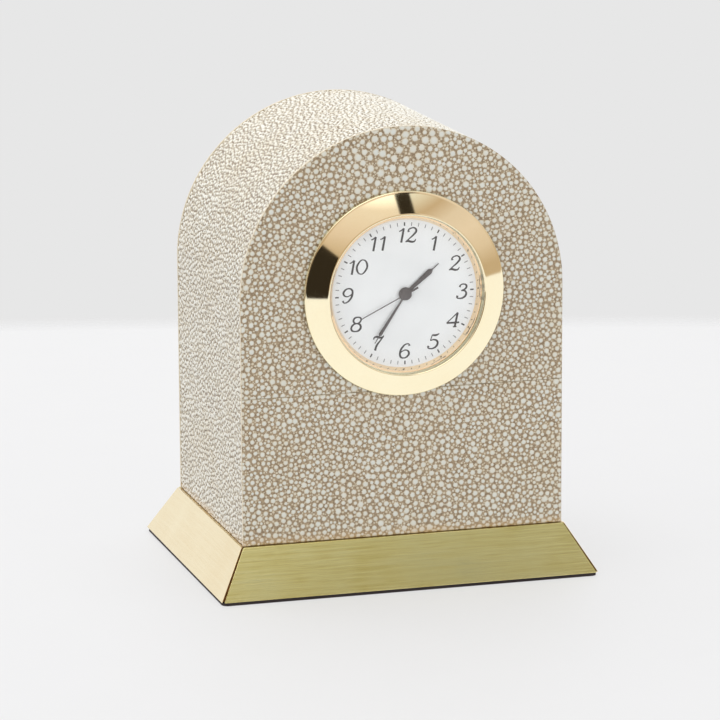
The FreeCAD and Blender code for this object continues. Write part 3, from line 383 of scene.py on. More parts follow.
@dataclass(frozen=True)
class GlassFinish(Finish):
    """Clear mineral glass: sees through, with a shine that grows to the edge."""

    tints: tuple[Spot, Spot] = ((252, 252, 252), (254, 254, 254))
    facing_shine: float = 0.035
    edge_shine: float = 0.7

    def write(self, r: Recipe) -> None:
        """Write the shader.

        Args:
            r: The recipe.
        """
        r.tree.nodes.remove(r.shader)
        smear = r.noise(r.place(), 0.12, 3.0, 0.5)
        clear = r.add("BsdfTransparent", {"Color": r.blend(r.span(smear, 0.35, 0.65), *self.tints)})
        shine = r.add("BsdfGlossy", {"Roughness": r.span(smear, *MOST, 0.015, 0.05)})
        edge_on = r.work("POWER", r.add("LayerWeight", {"Blend": 0.5}).outputs["Facing"], 5.0)
        share = r.work("ADD", r.work("MULTIPLY", edge_on, self.edge_shine), self.facing_shine)
        mix = r.add("MixShader", {0: share, 1: clear.outputs[0], 2: shine.outputs[0]})
        r.feed(r.surface, mix.outputs[0])


@dataclass(frozen=True)
class WindingFinish(Finish):
    """Fine enamelled copper wire laid side by side round a bar that stands upright."""

    shade: Spot = (120, 58, 30)
    colour: Spot = (214, 124, 72)
    pitch: float = 3.2

    def write(self, r: Recipe) -> None:
        """Write the shader.

        Args:
            r: The recipe.
        """
        feeds = {"Vector": r.place(), "Scale": self.pitch, "Distortion": 0.25}
        bands = {"wave_type": "BANDS", "bands_direction": "Z", "wave_profile": "SIN"}
        turns = r.add("TexWave", feeds, **bands).outputs["Fac"]
        # The darker colour between the turns is painted shade in the grooves between the wires.
        r.set(Base_Color=r.blend(turns, self.shade, self.colour))
        r.set(Metallic=0.85, Roughness=r.span(turns, 0.0, 1.0, 0.5, 0.28))
        r.bump(turns, 0.06, 0.9)


@dataclass(frozen=True)
class BoardFinish(Finish):
    """Green lacquered circuit board with copper tracks showing through."""

    shade: Spot = (18, 74, 44)
    colour: Spot = (26, 92, 56)
    tracks: Spot = (58, 128, 74)

    def write(self, r: Recipe) -> None:
        """Write the shader.

        Args:
            r: The recipe.
        """
        feeds = {"Vector": r.place(), "Scale": 0.45, "Randomness": 0.6}
        cells = r.add("TexVoronoi", feeds, feature="DISTANCE_TO_EDGE", distance="MANHATTAN")
        track = r.span(cells.outputs["Distance"], 0.05, 0.09, 1.0, 0.0)
        fine = r.noise(r.place(), 3.0, 3.0, 0.55)
        r.set(Base_Color=r.blend(track, r.blend(fine, self.shade, self.colour), self.tracks))
        r.set(Roughness=r.span(fine, *MOST, 0.28, 0.42), Coat_Weight=0.4)
        r.bump(track, 0.03, 0.8)


@dataclass(frozen=True)
class FloorFinish(Finish):
    """Pale table top that glows a little, and whose far edge melts into the room."""

    shade: Spot = (107, 107, 108)
    colour: Spot = (110, 110, 111)
    reach: float = 287.0
    melt: float = 10.0
    turn: float = 16.3474
    glow: float = 0.585

    def write(self, r: Recipe) -> None:
        """Write the shader.

        Args:
            r: The recipe.
        """
        where = r.place(turn=math.radians(self.turn))
        # Far is the distance from the middle, measured along a square with round corners.
        fourths = [r.work("POWER", r.work("ABSOLUTE", part), 4.0) for part in r.parts(where)[:2]]
        far = r.work("POWER", r.work("ADD", *fourths), 0.25)
        seen = r.span(far, self.reach - self.melt, self.reach + self.melt, 1.0, 0.0)
        speck = r.noise(where, 0.05, 4.0)
        r.set(Base_Color=r.blend(speck, self.shade, self.colour), Roughness=0.62, Alpha=seen)
        r.set(Emission_Color=(255, 255, 255), Emission_Strength=self.glow)


FINISHES: tuple[Finish, ...] = (
    ShagreenFinish("shagreen"),
    # The strip's copy of the skin: its pebbles are lighter than the front's, which is painted light
    # from above. Its darker ground is painted shade between the pebbles.
    ShagreenFinish(
        "shagreen_painted_light_shade", (219, 218, 210), (219, 220, 215), (210, 204, 188),
        (180, 167, 142), (134, 117, 91), (98, 82, 60),
    ),
    # One brass on all four plates. The side plates' paler, more even colours are painted light. The
    # front and back plates' darker shade is brushing variation and painted shade.
    MetalFinish("base_brass", (243, 238, 178), (192, 181, 112), 0.2, 0.6, 0.06, Grain.X),
    MetalFinish("base_brass_side_lit", (246, 232, 192), (240, 222, 178), 0.17, 0.5, 0.02, Grain.Y),
    MetalFinish("bezel_gold", (255, 249, 217), (253, 244, 209), 0.06, 0.3, 0.02),
    MetalFinish("ring_gold", (252, 228, 192), (249, 221, 180), 0.06, 0.3, 0.02),
    MetalFinish("wheel_brass", (232, 196, 112), (206, 168, 88), 0.28, 0.5),
    MetalFinish("magnet", (96, 94, 92), (70, 68, 66), 0.38),
    MetalFinish("soft_iron", (188, 186, 180), (150, 148, 142), 0.34, 0.6, grain=Grain.Z),
    MetalFinish("steel", (226, 226, 224), (196, 196, 196), 0.22),
    GlassFinish("glass"),
    WindingFinish("copper"),
    BoardFinish("board_green"),
    SolidFinish("ring_satin", (242, 236, 204), (236, 229, 194), 0.4, 2.0, 0.002),
    SolidFinish("dial_white", (236, 238, 238), (232, 235, 236), 0.34, 2.0, 0.002, 0.05),
    SolidFinish("hand_black", (95, 90, 89), (76, 72, 72), 0.3, 4.0, 0.003),
    SolidFinish("ink", (60, 58, 58), (46, 44, 44), 0.5, 6.0, 0.002),
    SolidFinish("ink_pale", (132, 132, 134), (118, 118, 120), 0.5, 6.0, 0.002),
    SolidFinish("case_plastic", (34, 34, 35), (24, 24, 25), 0.42, 2.2, 0.03),
    SolidFinish("grip_rubber", (44, 43, 42), (30, 29, 29), 0.7, 2.6, 0.03),
    SolidFinish("movement_plastic", (214, 210, 196), (196, 192, 178), 0.4, 1.6, 0.02, 0.1, 0.1),
    SolidFinish("chip_black", (30, 30, 32), (20, 20, 21), 0.38, 3.0, 0.02),
    SolidFinish("felt", (46, 38, 38), (28, 22, 24), 0.9, 3.2, 0.12),
    WoodFinish("board", (206, 176, 132), (168, 134, 92)),
    WoodFinish("plinth_wood", (146, 104, 66), (104, 70, 42), Grain.X),
)


class Wardrobe:
    """All finishes by name; a finish is made once and shared."""

    def __init__(self) -> None:
        """Make every finish that the clock wears."""
        self.rack = {finish.name: finish.make() for finish in FINISHES}

    def wear(self, piece: Piece, name: str) -> None:
        """Put one finish all over a piece."""
        piece.data.materials.clear()
        piece.data.materials.append(self.rack[name])

    def dress_solids(self, nodes: Iterable[str]) -> None:
        """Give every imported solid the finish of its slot.

        Args:
            nodes: Names of the solids.
        """
        for name in sorted(nodes):
            for holder in bpy.data.objects[name].material_slots:
                slot = holder.material.name.split(".")[0]
                holder.material = self.rack[slot]
            LOG.info("dressed %s in %s", name, slot)


def deselect() -> None:
    """Leave edit mode with nothing selected."""
    if bpy.context.object and bpy.context.object.mode != "OBJECT":
        bpy.ops.object.mode_set(mode="OBJECT")
    bpy.ops.object.select_all(action="DESELECT")


def pick(piece: Piece) -> None:
    """Select one piece alone and make it active.

    Args:
        piece: The piece.
    """
    deselect()
    piece.select_set(True)
    bpy.context.view_layer.objects.active = piece


@contextmanager
def editing(piece: Piece) -> Iterator[None]:
    """Hold a piece in edit mode with all of it selected.

    Args:
        piece: The piece.

    Yields:
        Nothing; the mode is left again afterwards.
    """
    pick(piece)
    bpy.ops.object.mode_set(mode="EDIT")
    bpy.ops.mesh.select_all(action="SELECT")
    yield
    bpy.ops.object.mode_set(mode="OBJECT")


def newest(name: str) -> Piece:
    """Name the object that an operator has just added, and its mesh.

    Args:
        name: The piece's name.

    Returns:
        The object.
    """
    piece = bpy.context.object
    piece.name = piece.data.name = name
    return piece


def linked(name: str, data: bpy.types.ID) -> Piece:
    """Bring a mesh, curve, lamp or camera into the scene.

    Args:
        name: The object's name.
        data: What it shows.

    Returns:
        The object.
    """
    piece = bpy.data.objects.new(name, data)
    bpy.context.scene.collection.objects.link(piece)
    return piece


def joined(pieces: Sequence[Piece], name: str) -> Piece:
    """Move each piece's turn, size and place into its mesh, and join them.

    Args:
        pieces: The pieces, or a single one.
        name: The name of the whole.

    Returns:
        The whole.
    """
    pick(pieces[0])
    for piece in pieces:
        piece.select_set(True)
    bpy.ops.object.transform_apply(location=True, rotation=True, scale=True)
    if len(pieces) > 1:
        bpy.ops.object.join()
    return newest(name)


def rounded(piece: Piece, width: float, steps: int = 3, over: float = 35.0) -> None:
    """Round a piece's sharp edges.

    Args:
        piece: The piece.
        width: Width of the rounding.
        steps: Faces across it.
        over: Only edges sharper than this are rounded.
    """
    pick(piece)
    modifier = piece.modifiers.new("round", "BEVEL")
    modifier.width = width * MM
    modifier.segments = steps
    modifier.limit_method = "ANGLE"
    modifier.angle_limit = math.radians(over)
    modifier.harden_normals = False
    bpy.ops.object.modifier_apply(modifier=modifier.name)


def smoothed(piece: Piece, over: float) -> None:
    """Shade a piece smooth except over edges sharper than this."""
    pick(piece)
    bpy.ops.object.shade_smooth_by_angle(angle=math.radians(over))


def copied(node: str, name: str) -> Piece:
    """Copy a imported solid, join its loose triangles and drop the lines inside flat faces.

    Args:
        node: The solid.
        name: The new piece's name.

    Returns:
        The new piece.
    """
    mesh = bpy.data.objects[node].data.copy()
    mesh.name = name
    piece = linked(name, mesh)
    with editing(piece):
        bpy.ops.mesh.remove_doubles(threshold=MERGE * MM)
        bpy.ops.mesh.dissolve_limited(angle_limit=math.radians(1.0))
    return piece


def turned(name: str, profile: Sequence[Flat], steps: int, over: float) -> Piece:
    """Turn a closed outline about the clock's axis.

    Args:
        name: The piece's name.
        profile: Points as radius and distance out of the case's face.
        steps: Faces round the turn.
        over: Edges sharper than this stay sharp.

    Returns:
        The turned piece.
    """
    mesh = bpy.data.meshes.new(name)
    points = [(radius * MM, (FACE_Y - out) * MM, CLOCK_Z * MM) for radius, out in profile]
    mesh.from_pydata(points, [(i, (i + 1) % len(points)) for i in range(len(points))], [])
    piece = linked(name, mesh)
    with editing(piece):
        bpy.ops.mesh.spin(steps=steps, angle=math.tau, center=(0, 0, CLOCK_Z * MM), axis=(0, 1, 0))
    with editing(piece):
        bpy.ops.mesh.remove_doubles(threshold=MERGE * MM)
        bpy.ops.mesh.normals_make_consistent(inside=False)
    smoothed(piece, over)
    return piece


def arc(centre: Flat, radius: float, start: float, end: float, steps: int) -> list[Flat]:
    """Set points along an arc, both its ends among them.

    Args:
        centre: Centre of the arc.
        radius: Its radius.
        start: First angle.
        end: Last angle.
        steps: Chords along it.

    Returns:
        The points.
    """
    angles = [math.radians(start + (end - start) * i / steps) for i in range(steps + 1)]
    return [(centre[0] + radius * math.cos(a), centre[1] + radius * math.sin(a)) for a in angles]


@dataclass
class Assembly:
    """A sub-assembly, which hands each finished piece over to the frame."""

    wardrobe: Wardrobe

    def build(self) -> None:
        """Make the pieces; each sub-assembly has its own."""

    def hand_over(
        self, piece: Piece, body: str, finish: str, slot: str = "", node: str = ""
    ) -> None:
        """Dress a piece, let it ride on its body and hide the solid that it replaces.

        Args:
            piece: The piece.
            body: The body that it moves with.
            finish: The finish that it wears.
            slot: Not used; the slot's name where the finish has another name.
            node: The solid that it replaces, if any.
        """
        self.wardrobe.wear(piece, finish)
        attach(piece, body)
        if node:
            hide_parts(node)
        slot or finish
        LOG.info("built %s", piece.name)


class Skin(Enum):
    """What a face of the sheet is, as the finish reads it."""

    GROUND = 0.0
    PEBBLE = 0.7
    EDGE = 1.0


@dataclass(eq=False)
class Pebble:
    """One pebble of the skin, on the sheet laid flat."""

    u: float
    v: float
    radius: float
    large: bool
    tone: float = 0.0

    def away(self, u: float, v: float) -> float:
        """How far a place is from the pebble's middle."""
        return math.hypot(self.u - u, self.v - v)


@dataclass
class Point:
    """One point of the sheet's top: its place, its height, and how far up its pebble it is."""

    u: float
    v: float
    height: float
    rise: float = 0.0
    pebble: Pebble | None = None


@dataclass
class Face:
    """One triangle of the sheet's top, the middle of it, and what it is."""

    corners: tuple[int, int, int]
    middle: float
    mark: Spot


@dataclass
class Throw:
    """One size of pebble: throws for each square millimetre, radii, and the gap left round it."""

    count: float
    smallest: float
    largest: float
    gap: float
    large: bool = False


THROWS = (
    Throw(4.5, 0.56, 0.71, 0.28, True),
    Throw(6.0, 0.37, 0.47, 0.11, True),
    Throw(11.0, 0.25, 0.33, 0.09),
    Throw(5.0, 0.16, 0.21, 0.06),
)


@dataclass
class ShagreenSheet:
    """A sheet of ray skin, laid out flat, pebbled, and then put in place on the case."""

    name: str
    node: str
    seed: int
    loops: list[list[Flat]]
    inside: Callable[[float, float], float]
    put: Callable[[float, float, float], Spot]
    swell: Callable[[float, float], float]
    parts: int = 1
    thickness: float = 1.0
    relief: float = 0.15
    worn: float = 0.5
    worn_drop: float = 0.16
    lattice: float = 0.0
    cell: float = 1.3
    overhang: float = 0.3
    growth: float = 1.45
    room: float = 0.08
    border_step: float = 0.4
    clear: float = 0.1
    top_uneven: float = 0.02
    foot_uneven: Flat = (0.93, 1.05)
    foot_points: tuple[int, int] = (6, 8)
    small_drop: float = 0.035
    crown_share: float = 0.7
    crown_drop: float = 0.028
    crown_rise: float = 0.6
    cut_share: float = 0.92
    inner_share: float = 0.96
    finest: float = 1e-5
    pebbles: list[Pebble] = field(default_factory=list)
    grid: dict[tuple[int, int], list[Pebble]] = field(default_factory=lambda: defaultdict(list))

    def around(self, u: float, v: float) -> Iterator[Pebble]:
        """Go through the pebbles in the cells about a place."""
        column, row = int(u // self.cell), int(v // self.cell)
        return (p for i in (-1, 0, 1) for j in (-1, 0, 1) for p in self.grid[column + i, row + j])

    def scatter(self) -> None:
        """Throw pebbles, the largest first, keep each that lies clear, and let them grow."""
        dice = random.Random(self.seed)
        us, vs = ([point[axis] for loop in self.loops for point in loop] for axis in (0, 1))
        low_u, high_u, low_v, high_v = min(us), max(us), min(vs), max(vs)
        area = (high_u - low_u) * (high_v - low_v)
        for throw in THROWS:
            for _ in range(int(area * throw.count)):
                u, v = dice.uniform(low_u, high_u), dice.uniform(low_v, high_v)
                if self.inside(u, v) < -self.overhang:
                    continue
                radius = dice.uniform(throw.smallest, throw.largest)
                radius *= self.swell(u, v) if throw.large else 1.0
                near, reach = self.around(u, v), radius + throw.gap
                if any((p.u - u) ** 2 + (p.v - v) ** 2 < (p.radius + reach) ** 2 for p in near):
                    continue
                pebble = Pebble(u, v, radius, throw.large)
                self.grid[int(u // self.cell), int(v // self.cell)].append(pebble)
                self.pebbles.append(pebble)
        for pebble in self.pebbles:
            others = (p for p in self.around(pebble.u, pebble.v) if p is not pebble)
            gaps = (p.away(pebble.u, pebble.v) - p.radius for p in others)
            limit = min(gaps, default=pebble.radius) - self.room
            pebble.radius = max(pebble.radius, min(pebble.radius * self.growth, limit))

    def border(self) -> tuple[list[Point], list[tuple[int, int]]]:
        """Set points close together along each border.

        Returns:
            The points, and the pairs of them that the border joins.
        """
        points: list[Point] = []
        pairs: list[tuple[int, int]] = []
        for loop in self.loops:
            first = len(points)
            for (u0, v0), (u1, v1) in zip(loop, loop[1:] + loop[:1]):
                count = max(1, round(math.hypot(u1 - u0, v1 - v0) / self.border_step))
                for i in range(count):
                    u, v = u0 + (u1 - u0) * i / count, v0 + (v1 - v0) * i / count
                    points.append(Point(u, v, -self.relief))
            size = len(points) - first
            pairs += [(first + i, first + (i + 1) % size) for i in range(size)]
        for point in points:
            for pebble in self.around(point.u, point.v):
                share = pebble.away(point.u, point.v) / pebble.radius
                if share < self.cut_share:
                    point.height, point.pebble = -self.relief * share**3, pebble
        return points, pairs

    def mounds(self, dice: random.Random) -> Iterator[Point]:
        """Give each pebble's points: an uneven foot, a shoulder if it is large, and its top.

        Args:
            dice: Where the unevenness comes from.

        Yields:
            The points.
        """
        for pebble in self.pebbles:
            top = -dice.uniform(0.0, self.top_uneven)
            top -= 0.0 if pebble.large else self.small_drop
            start = dice.uniform(0.0, math.tau)
            count = self.foot_points[pebble.large]
            uneven = [dice.uniform(*self.foot_uneven) for _ in range(count)]
            rings = [(1.0, -self.relief, 0.0, uneven)]
            if pebble.large:
                even = [1.0] * self.foot_points[0]
                rings.append((self.crown_share, top - self.crown_drop, self.crown_rise, even))
            for share, height, rise, swings in rings:
                for i, swing in enumerate(swings):
                    angle = start + math.tau * i / len(swings)
                    reach = pebble.radius * share * swing
                    u, v = pebble.u + reach * math.cos(angle), pebble.v + reach * math.sin(angle)
                    yield Point(u, v, height, rise, pebble)
            yield Point(pebble.u, pebble.v, top, 1.0, pebble)

    def build(self) -> list[Piece]:
        """Pebble the sheet, close it and put it in place.

        Returns:
            The finished pieces, one for each part of the sheet.
        """
        self.scatter()
        dice = random.Random(self.seed + 1)
        points, pairs = self.border()
        points += [p for p in self.mounds(dice) if self.inside(p.u, p.v) >= self.clear]
        for point in points:
            depth = max(0.0, self.inside(point.u, point.v))
            if depth < self.worn:
                point.height -= self.worn_drop * (1.0 - depth / self.worn) ** 2
        places = [Vector((point.u, point.v)) for point in points]
        flat, _, triangles, origin, _, _ = delaunay_2d_cdt(places, pairs, [], 0, self.finest, True)
        tops = [points[ids[0] if ids else 0] for ids in origin]
        for pebble in self.pebbles:
            pebble.tone = dice.random()
        faces = []
        for triangle in triangles:
            u, v = (sum(flat[i][axis] for i in triangle) / 3 for axis in (0, 1))
            if self.inside(u, v) < 0.0:
                continue
            mark = (Skin.GROUND.value, dice.random(), 0.0)
            for pebble in (tops[i].pebble for i in triangle):
                if pebble and pebble.away(u, v) < pebble.radius * self.inner_share:
                    mark = (Skin.PEBBLE.value, pebble.tone, float(pebble.large))
                    break
            faces.append(Face(tuple(triangle), u, mark))
        low, high = min(p[0] for p in flat), max(p[0] for p in flat)
        pieces = []
        for part in range(self.parts):
            start, end = (low + (high - low) * (part + k) / self.parts for k in (0, 1))
            chosen = [face for face in faces if self.parts == 1 or start <= face.middle < end]
            name = self.name if self.parts == 1 else f"{self.name}_{part + 1}"
            pieces.append(self.close(name, flat, tops, chosen))
        return pieces

    def rungs(self, values: Sequence[float]) -> Iterator[float]:
        """Step over a range by the lattice's width, clear of both its ends.

        Args:
            values: Any values; the lowest and highest are the ends.

        Yields:
            The steps.
        """
        at, end = min(values) + self.lattice, max(values) - self.lattice / 2
        while self.lattice and at < end:
            yield at
            at += self.lattice

    def close(self, name: str, flat: list[Vector], tops: list[Point], faces: list[Face]) -> Piece:
        """Make one part of the sheet a closed skin with a back and side walls.

        Args:
            name: The piece's name.
            flat: All points of the sheet.
            tops: What each of them is.
            faces: The part's top faces.

        Returns:
            The piece.
        """
        used = sorted({i for face in faces for i in face.corners})
        number = {i: k for k, i in enumerate(used)}
        places = [self.put(flat[i][0], flat[i][1], tops[i].height) for i in used]
        lifts = [tops[i].rise for i in used]
        polygons = [tuple(number[i] for i in face.corners) for face in faces]
        marks = [face.mark for face in faces]
        single: dict[tuple[int, int], None] = {}
        for face in faces:
            a, b, c = face.corners
            for edge in ((a, b), (b, c), (c, a)):
                if edge[::-1] in single:
                    del single[edge[::-1]]
                else:
                    single[edge] = None
        rim = sorted({i for edge in single for i in edge})
        below = {i: len(places) + k for k, i in enumerate(rim)}
        places += [self.put(flat[i][0], flat[i][1], -self.thickness) for i in rim]
        for a, b in single:
            polygons.append((number[b], number[a], below[a], below[b]))
            marks.append((Skin.EDGE.value, 0.5, 0.0))
        local = {i: k for k, i in enumerate(rim)}
        base = [Vector((flat[i][0], flat[i][1])) for i in rim]
        fences = [(local[a], local[b]) for a, b in single]
        us, vs = ([point[axis] for point in base] for axis in (0, 1))
        base += [Vector((u, v)) for u in self.rungs(us) for v in self.rungs(vs)]
        spread, _, backs, origin, _, _ = delaunay_2d_cdt(base, fences, [], 1, self.finest, True)
        names = []
        for point, ids in zip(spread, origin):
            source = next((k for k in ids if k < len(rim)), None)
            if source is None:
                names.append(len(places))
                places.append(self.put(point[0], point[1], -self.thickness))
            else:
                names.append(below[rim[source]])
        lifts += [0.0] * (len(places) - len(lifts))
        for triangle in backs:
            u, v = (sum(spread[i][axis] for i in triangle) / 3 for axis in (0, 1))
            if self.inside(u, v) > 0.0:
                polygons.append(tuple(names[i] for i in reversed(triangle)))
                marks.append((Skin.EDGE.value, 0.2, 0.0))
        mesh = bpy.data.meshes.new(name)
        mesh.from_pydata([tuple(c * MM for c in p) for p in places], [], polygons)
        skin = mesh.attributes.new("skin", "FLOAT_VECTOR", "FACE")
        skin.data.foreach_set("vector", [value for mark in marks for value in mark])
        rise = mesh.attributes.new("rise", "FLOAT", "POINT")
        rise.data.foreach_set("value", lifts)
        piece = linked(name, mesh)
        smoothed(piece, 50.0)
        LOG.info("%s: %d pebbles thrown, %d faces", name, len(self.pebbles), len(polygons))
        return piece


@dataclass
class Covering(Assembly):
    """The shagreen over the case: two sheets in front, one behind and a strip over the arch."""

    half: float = 40.5
    foot: float = 12.52
    spring: float = CLOCK_Z
    seam: float = 48.6
    seam_gap: float = 0.04
    bore: float = 23.1
    back_y: float = 31.5
    strip_y: float = 30.5
    strip_swell: float = 0.9
    plain_size: float = 0.95
    middle_growth: Flat = (0.14, 15.0)
    top_growth: Flat = (0.34, 12.0)
    top_from: float = 84.0
    top_run: float = 18.0

    def arch(self, low: float) -> list[Flat]:
        """Outline of a sheet with the arched top and a straight lower border."""
        curve = arc((0.0, self.spring), self.half, 0.0, 180.0, 90)
        return [(-self.half, low), (self.half, low)] + curve

    def depth(self, u: float, v: float, low: float, bored: bool) -> float:
        """How far a point lies inside an arched sheet.

        Args:
            u: Distance across.
            v: Height.
            low: Height of the lower border.
            bored: Whether the sheet has the clock's bore.

        Returns:
            The distance to the nearest border, below nought outside.
        """
        out = math.hypot(u, v - self.spring)
        side = self.half - (out if v > self.spring else abs(u))
        return min(side, v - low, out - self.bore if bored else side)

    def crown(self, u: float, v: float) -> float:
        """Tell how much pebbles grow towards the middle line of the skin and the top of the arch.

        Args:
            u: Distance across.
            v: Height.

        Returns:
            The growth, as a share.
        """
        high = max(0.0, min(1.0, (v - self.top_from) / self.top_run))
        growths = (self.middle_growth, self.top_growth)
        middle, top = (growth * math.exp(-((u / width) ** 2)) for growth, width in growths)
        return self.plain_size + middle + top * high

    def sheets(self) -> list[ShagreenSheet]:
        """List the sheets before they are pebbled.

        Returns:
            The sheets.
        """
        run = self.spring - self.foot
        length = 2 * run + math.pi * self.half
        upper, lower = self.seam + self.seam_gap, self.seam - self.seam_gap
        bore = arc((0.0, self.spring), self.bore, 0.0, 360.0, 120)[-2::-1]

        def box(low_u: float, high_u: float, low_v: float, high_v: float) -> list[Flat]:
            """Outline of a plain sheet."""
            return [(low_u, low_v), (high_u, low_v), (high_u, high_v), (low_u, high_v)]

        def front(u: float, v: float, height: float) -> Spot:
            """Lay a point on the front."""
            return (u, -self.back_y - height, v)

        def roll(u: float, v: float, height: float) -> Spot:
            """Lay a point of the flat strip on the sides and the arch.

            Args:
                u: Distance along the strip.
                v: Distance across it.
                height: Distance out of it.

            Returns:
                The place.
            """
            reach = self.half + height
            if u < run:
                return (-reach, v, self.foot + u)
            if u > length - run:
                return (reach, v, self.foot + length - u)
            turn = math.pi - (u - run) / self.half
            return (reach * math.cos(turn), v, self.spring + reach * math.sin(turn))

        return [
            ShagreenSheet(
                "shagreen_front_upper", "front_cover_upper", 11, [self.arch(upper), bore],
                lambda u, v: self.depth(u, v, upper, True), front, self.crown,
            ),
            ShagreenSheet(
                "shagreen_front_lower", "front_cover_lower", 23,
                [box(-self.half, self.half, self.foot, lower)],
                lambda u, v: min(self.half - abs(u), v - self.foot, lower - v), front, self.crown,
            ),
            ShagreenSheet(
                "shagreen_back", "back_cover", 37, [self.arch(self.foot)],
                lambda u, v: self.depth(u, v, self.foot, False),
                lambda u, v, h: (-u, self.back_y + h, v), self.crown, parts=2,
            ),
            ShagreenSheet(
                "shagreen_wrap", "wrap_cover", 53, [box(0.0, length, -self.strip_y, self.strip_y)],
                lambda u, v: min(u, length - u, self.strip_y - abs(v)), roll,
                lambda u, v: self.strip_swell, parts=3, worn=0.15, worn_drop=0.05, lattice=2.5,
                relief=0.24,
            ),
        ]

    def build(self) -> None:
        """Make, place and dress every sheet."""
        for sheet in self.sheets():
            # The strip over the sides and arch wears the copy with painted light on its pebbles and
            # painted shade in its ground.
            finish = "shagreen_painted_light_shade" if sheet.node == "wrap_cover" else "shagreen"
            for piece in sheet.build():
                self.hand_over(piece, "case", finish, "shagreen", sheet.node)


@dataclass
class Base(Assembly):
    """Four mitred brass plates round the plinth."""

    edge: float = 0.16
    trim: float = 0.3
    reach: float = 44.0
    broad: float = 10.0

    def build(self) -> None:
        """Open the mitres a little, round the edges, keep broad faces flat and dress each plate."""
        short = 1.0 - self.trim / self.reach
        for side in ("front", "right", "back", "left"):
            across = side in ("front", "back")
            piece = copied(f"brass_plate_{side}", f"base_plate_{side}")
            with editing(piece):
                along = (short, 1.0, 1.0) if across else (1.0, short, 1.0)
                bpy.ops.transform.resize(value=along, center_override=(0.0, 0.0, 0.0))
            rounded(piece, self.edge)
            smoothed(piece, 40.0)
            for face in piece.data.polygons:
                if face.area > self.broad * MM * MM:
                    face.use_smooth = False
            # The side plates wear the paler copy of the brass, with painted light.
            finish = "base_brass" if across else "base_brass_side_lit"
            self.hand_over(piece, "case", finish, "base_brass", f"brass_plate_{side}")


@dataclass
class Bezel(Assembly):
    """The domed gold rim, the glass it holds and the flared ring behind the glass."""

    outer: float = 25.0
    rim: float = 1.3
    rim_round: float = 0.3
    crest_radius: float = 19.7
    crest: float = 3.72
    crown: float = 80.0
    window: float = 19.4
    wall: float = 0.6
    flange: float = 0.7
    flange_wall: float = 0.85
    seat: float = 20.15
    glass_front: float = 3.32
    glass_back: float = 2.32
    glass_radius: float = 20.0
    glass_edge: float = 0.12
    ring: tuple[Flat, ...] = (
        (18.05, 0.97), (20.0, 0.97), (20.0, 2.32), (19.16, 2.32),
        (18.70, 2.32), (18.66, 2.24), (18.07, 1.04),
    )
    satin_from: float = 19.1
    facing: float = 0.9

    def crown_points(self, inset: float, first: float, last: float, steps: int) -> list[Flat]:
        """Set points down the crown's arc, from the crest to the rim.

        Args:
            inset: Distance under the outer face.
            first: Radius where the points start.
            last: Radius where they end.
            steps: Chords.

        Returns:
            The points.
        """
        run, drop = self.outer - self.rim_round - self.crest_radius, self.crest - self.rim
        chord = math.hypot(run, drop)
        sag = math.sqrt(self.crown**2 - (chord / 2) ** 2)
        across = self.crest_radius + run / 2 - drop / chord * sag
        out = self.crest - drop / 2 - run / chord * sag
        reach = self.crown - inset
        radii = (first + (last - first) * i / steps for i in range(steps + 1))
        return [(radius, out + math.sqrt(reach**2 - (radius - across) ** 2)) for radius in radii]

    def build(self) -> None:
        """Turn the three rings and dress them."""
        curl, front, wide = self.rim_round, self.glass_front, self.glass_radius
        edge, inner = self.outer - curl, self.outer - self.wall
        outline = arc((self.crest_radius, self.crest - curl), curl, 180.0, 90.0, 6)
        outline += self.crown_points(0.0, self.crest_radius, edge, 16)[1:]
        outline += arc((edge, self.rim - curl), curl, 90.0, 0.0, 6)[1:]
        outline += [(self.outer, 0.0), (inner, 0.0), (inner, self.flange)]
        outline += self.crown_points(self.wall, self.seat, self.outer - self.flange_wall, 6)[::-1]
        outline += [(self.seat, front), (self.window, front)]
        pane = [(0.0, self.glass_back), (wide, self.glass_back), (wide, front - self.glass_edge)]
        pane += [(wide - self.glass_edge, front), (0.0, front)]
        rim = turned("bezel_rim", outline, 160, 32.0)
        glass = turned("bezel_glass", pane, 96, 30.0)
        ring = turned("chapter_ring", self.ring, 144, 30.0)
        self.hand_over(rim, "clock_insert", "bezel_gold", node="bezel")
        self.hand_over(glass, "clock_insert", "glass", node="lens")
        self.hand_over(ring, "clock_insert", "ring_gold", "bezel_gold", "inner_ring")
        ring.data.materials.append(self.wardrobe.rack["ring_satin"])
        for face in ring.data.polygons:
            across, _, high = face.center / MM
            far = math.hypot(across, high - CLOCK_Z)
            face.material_index = int(face.normal.y < -self.facing and far > self.satin_from)


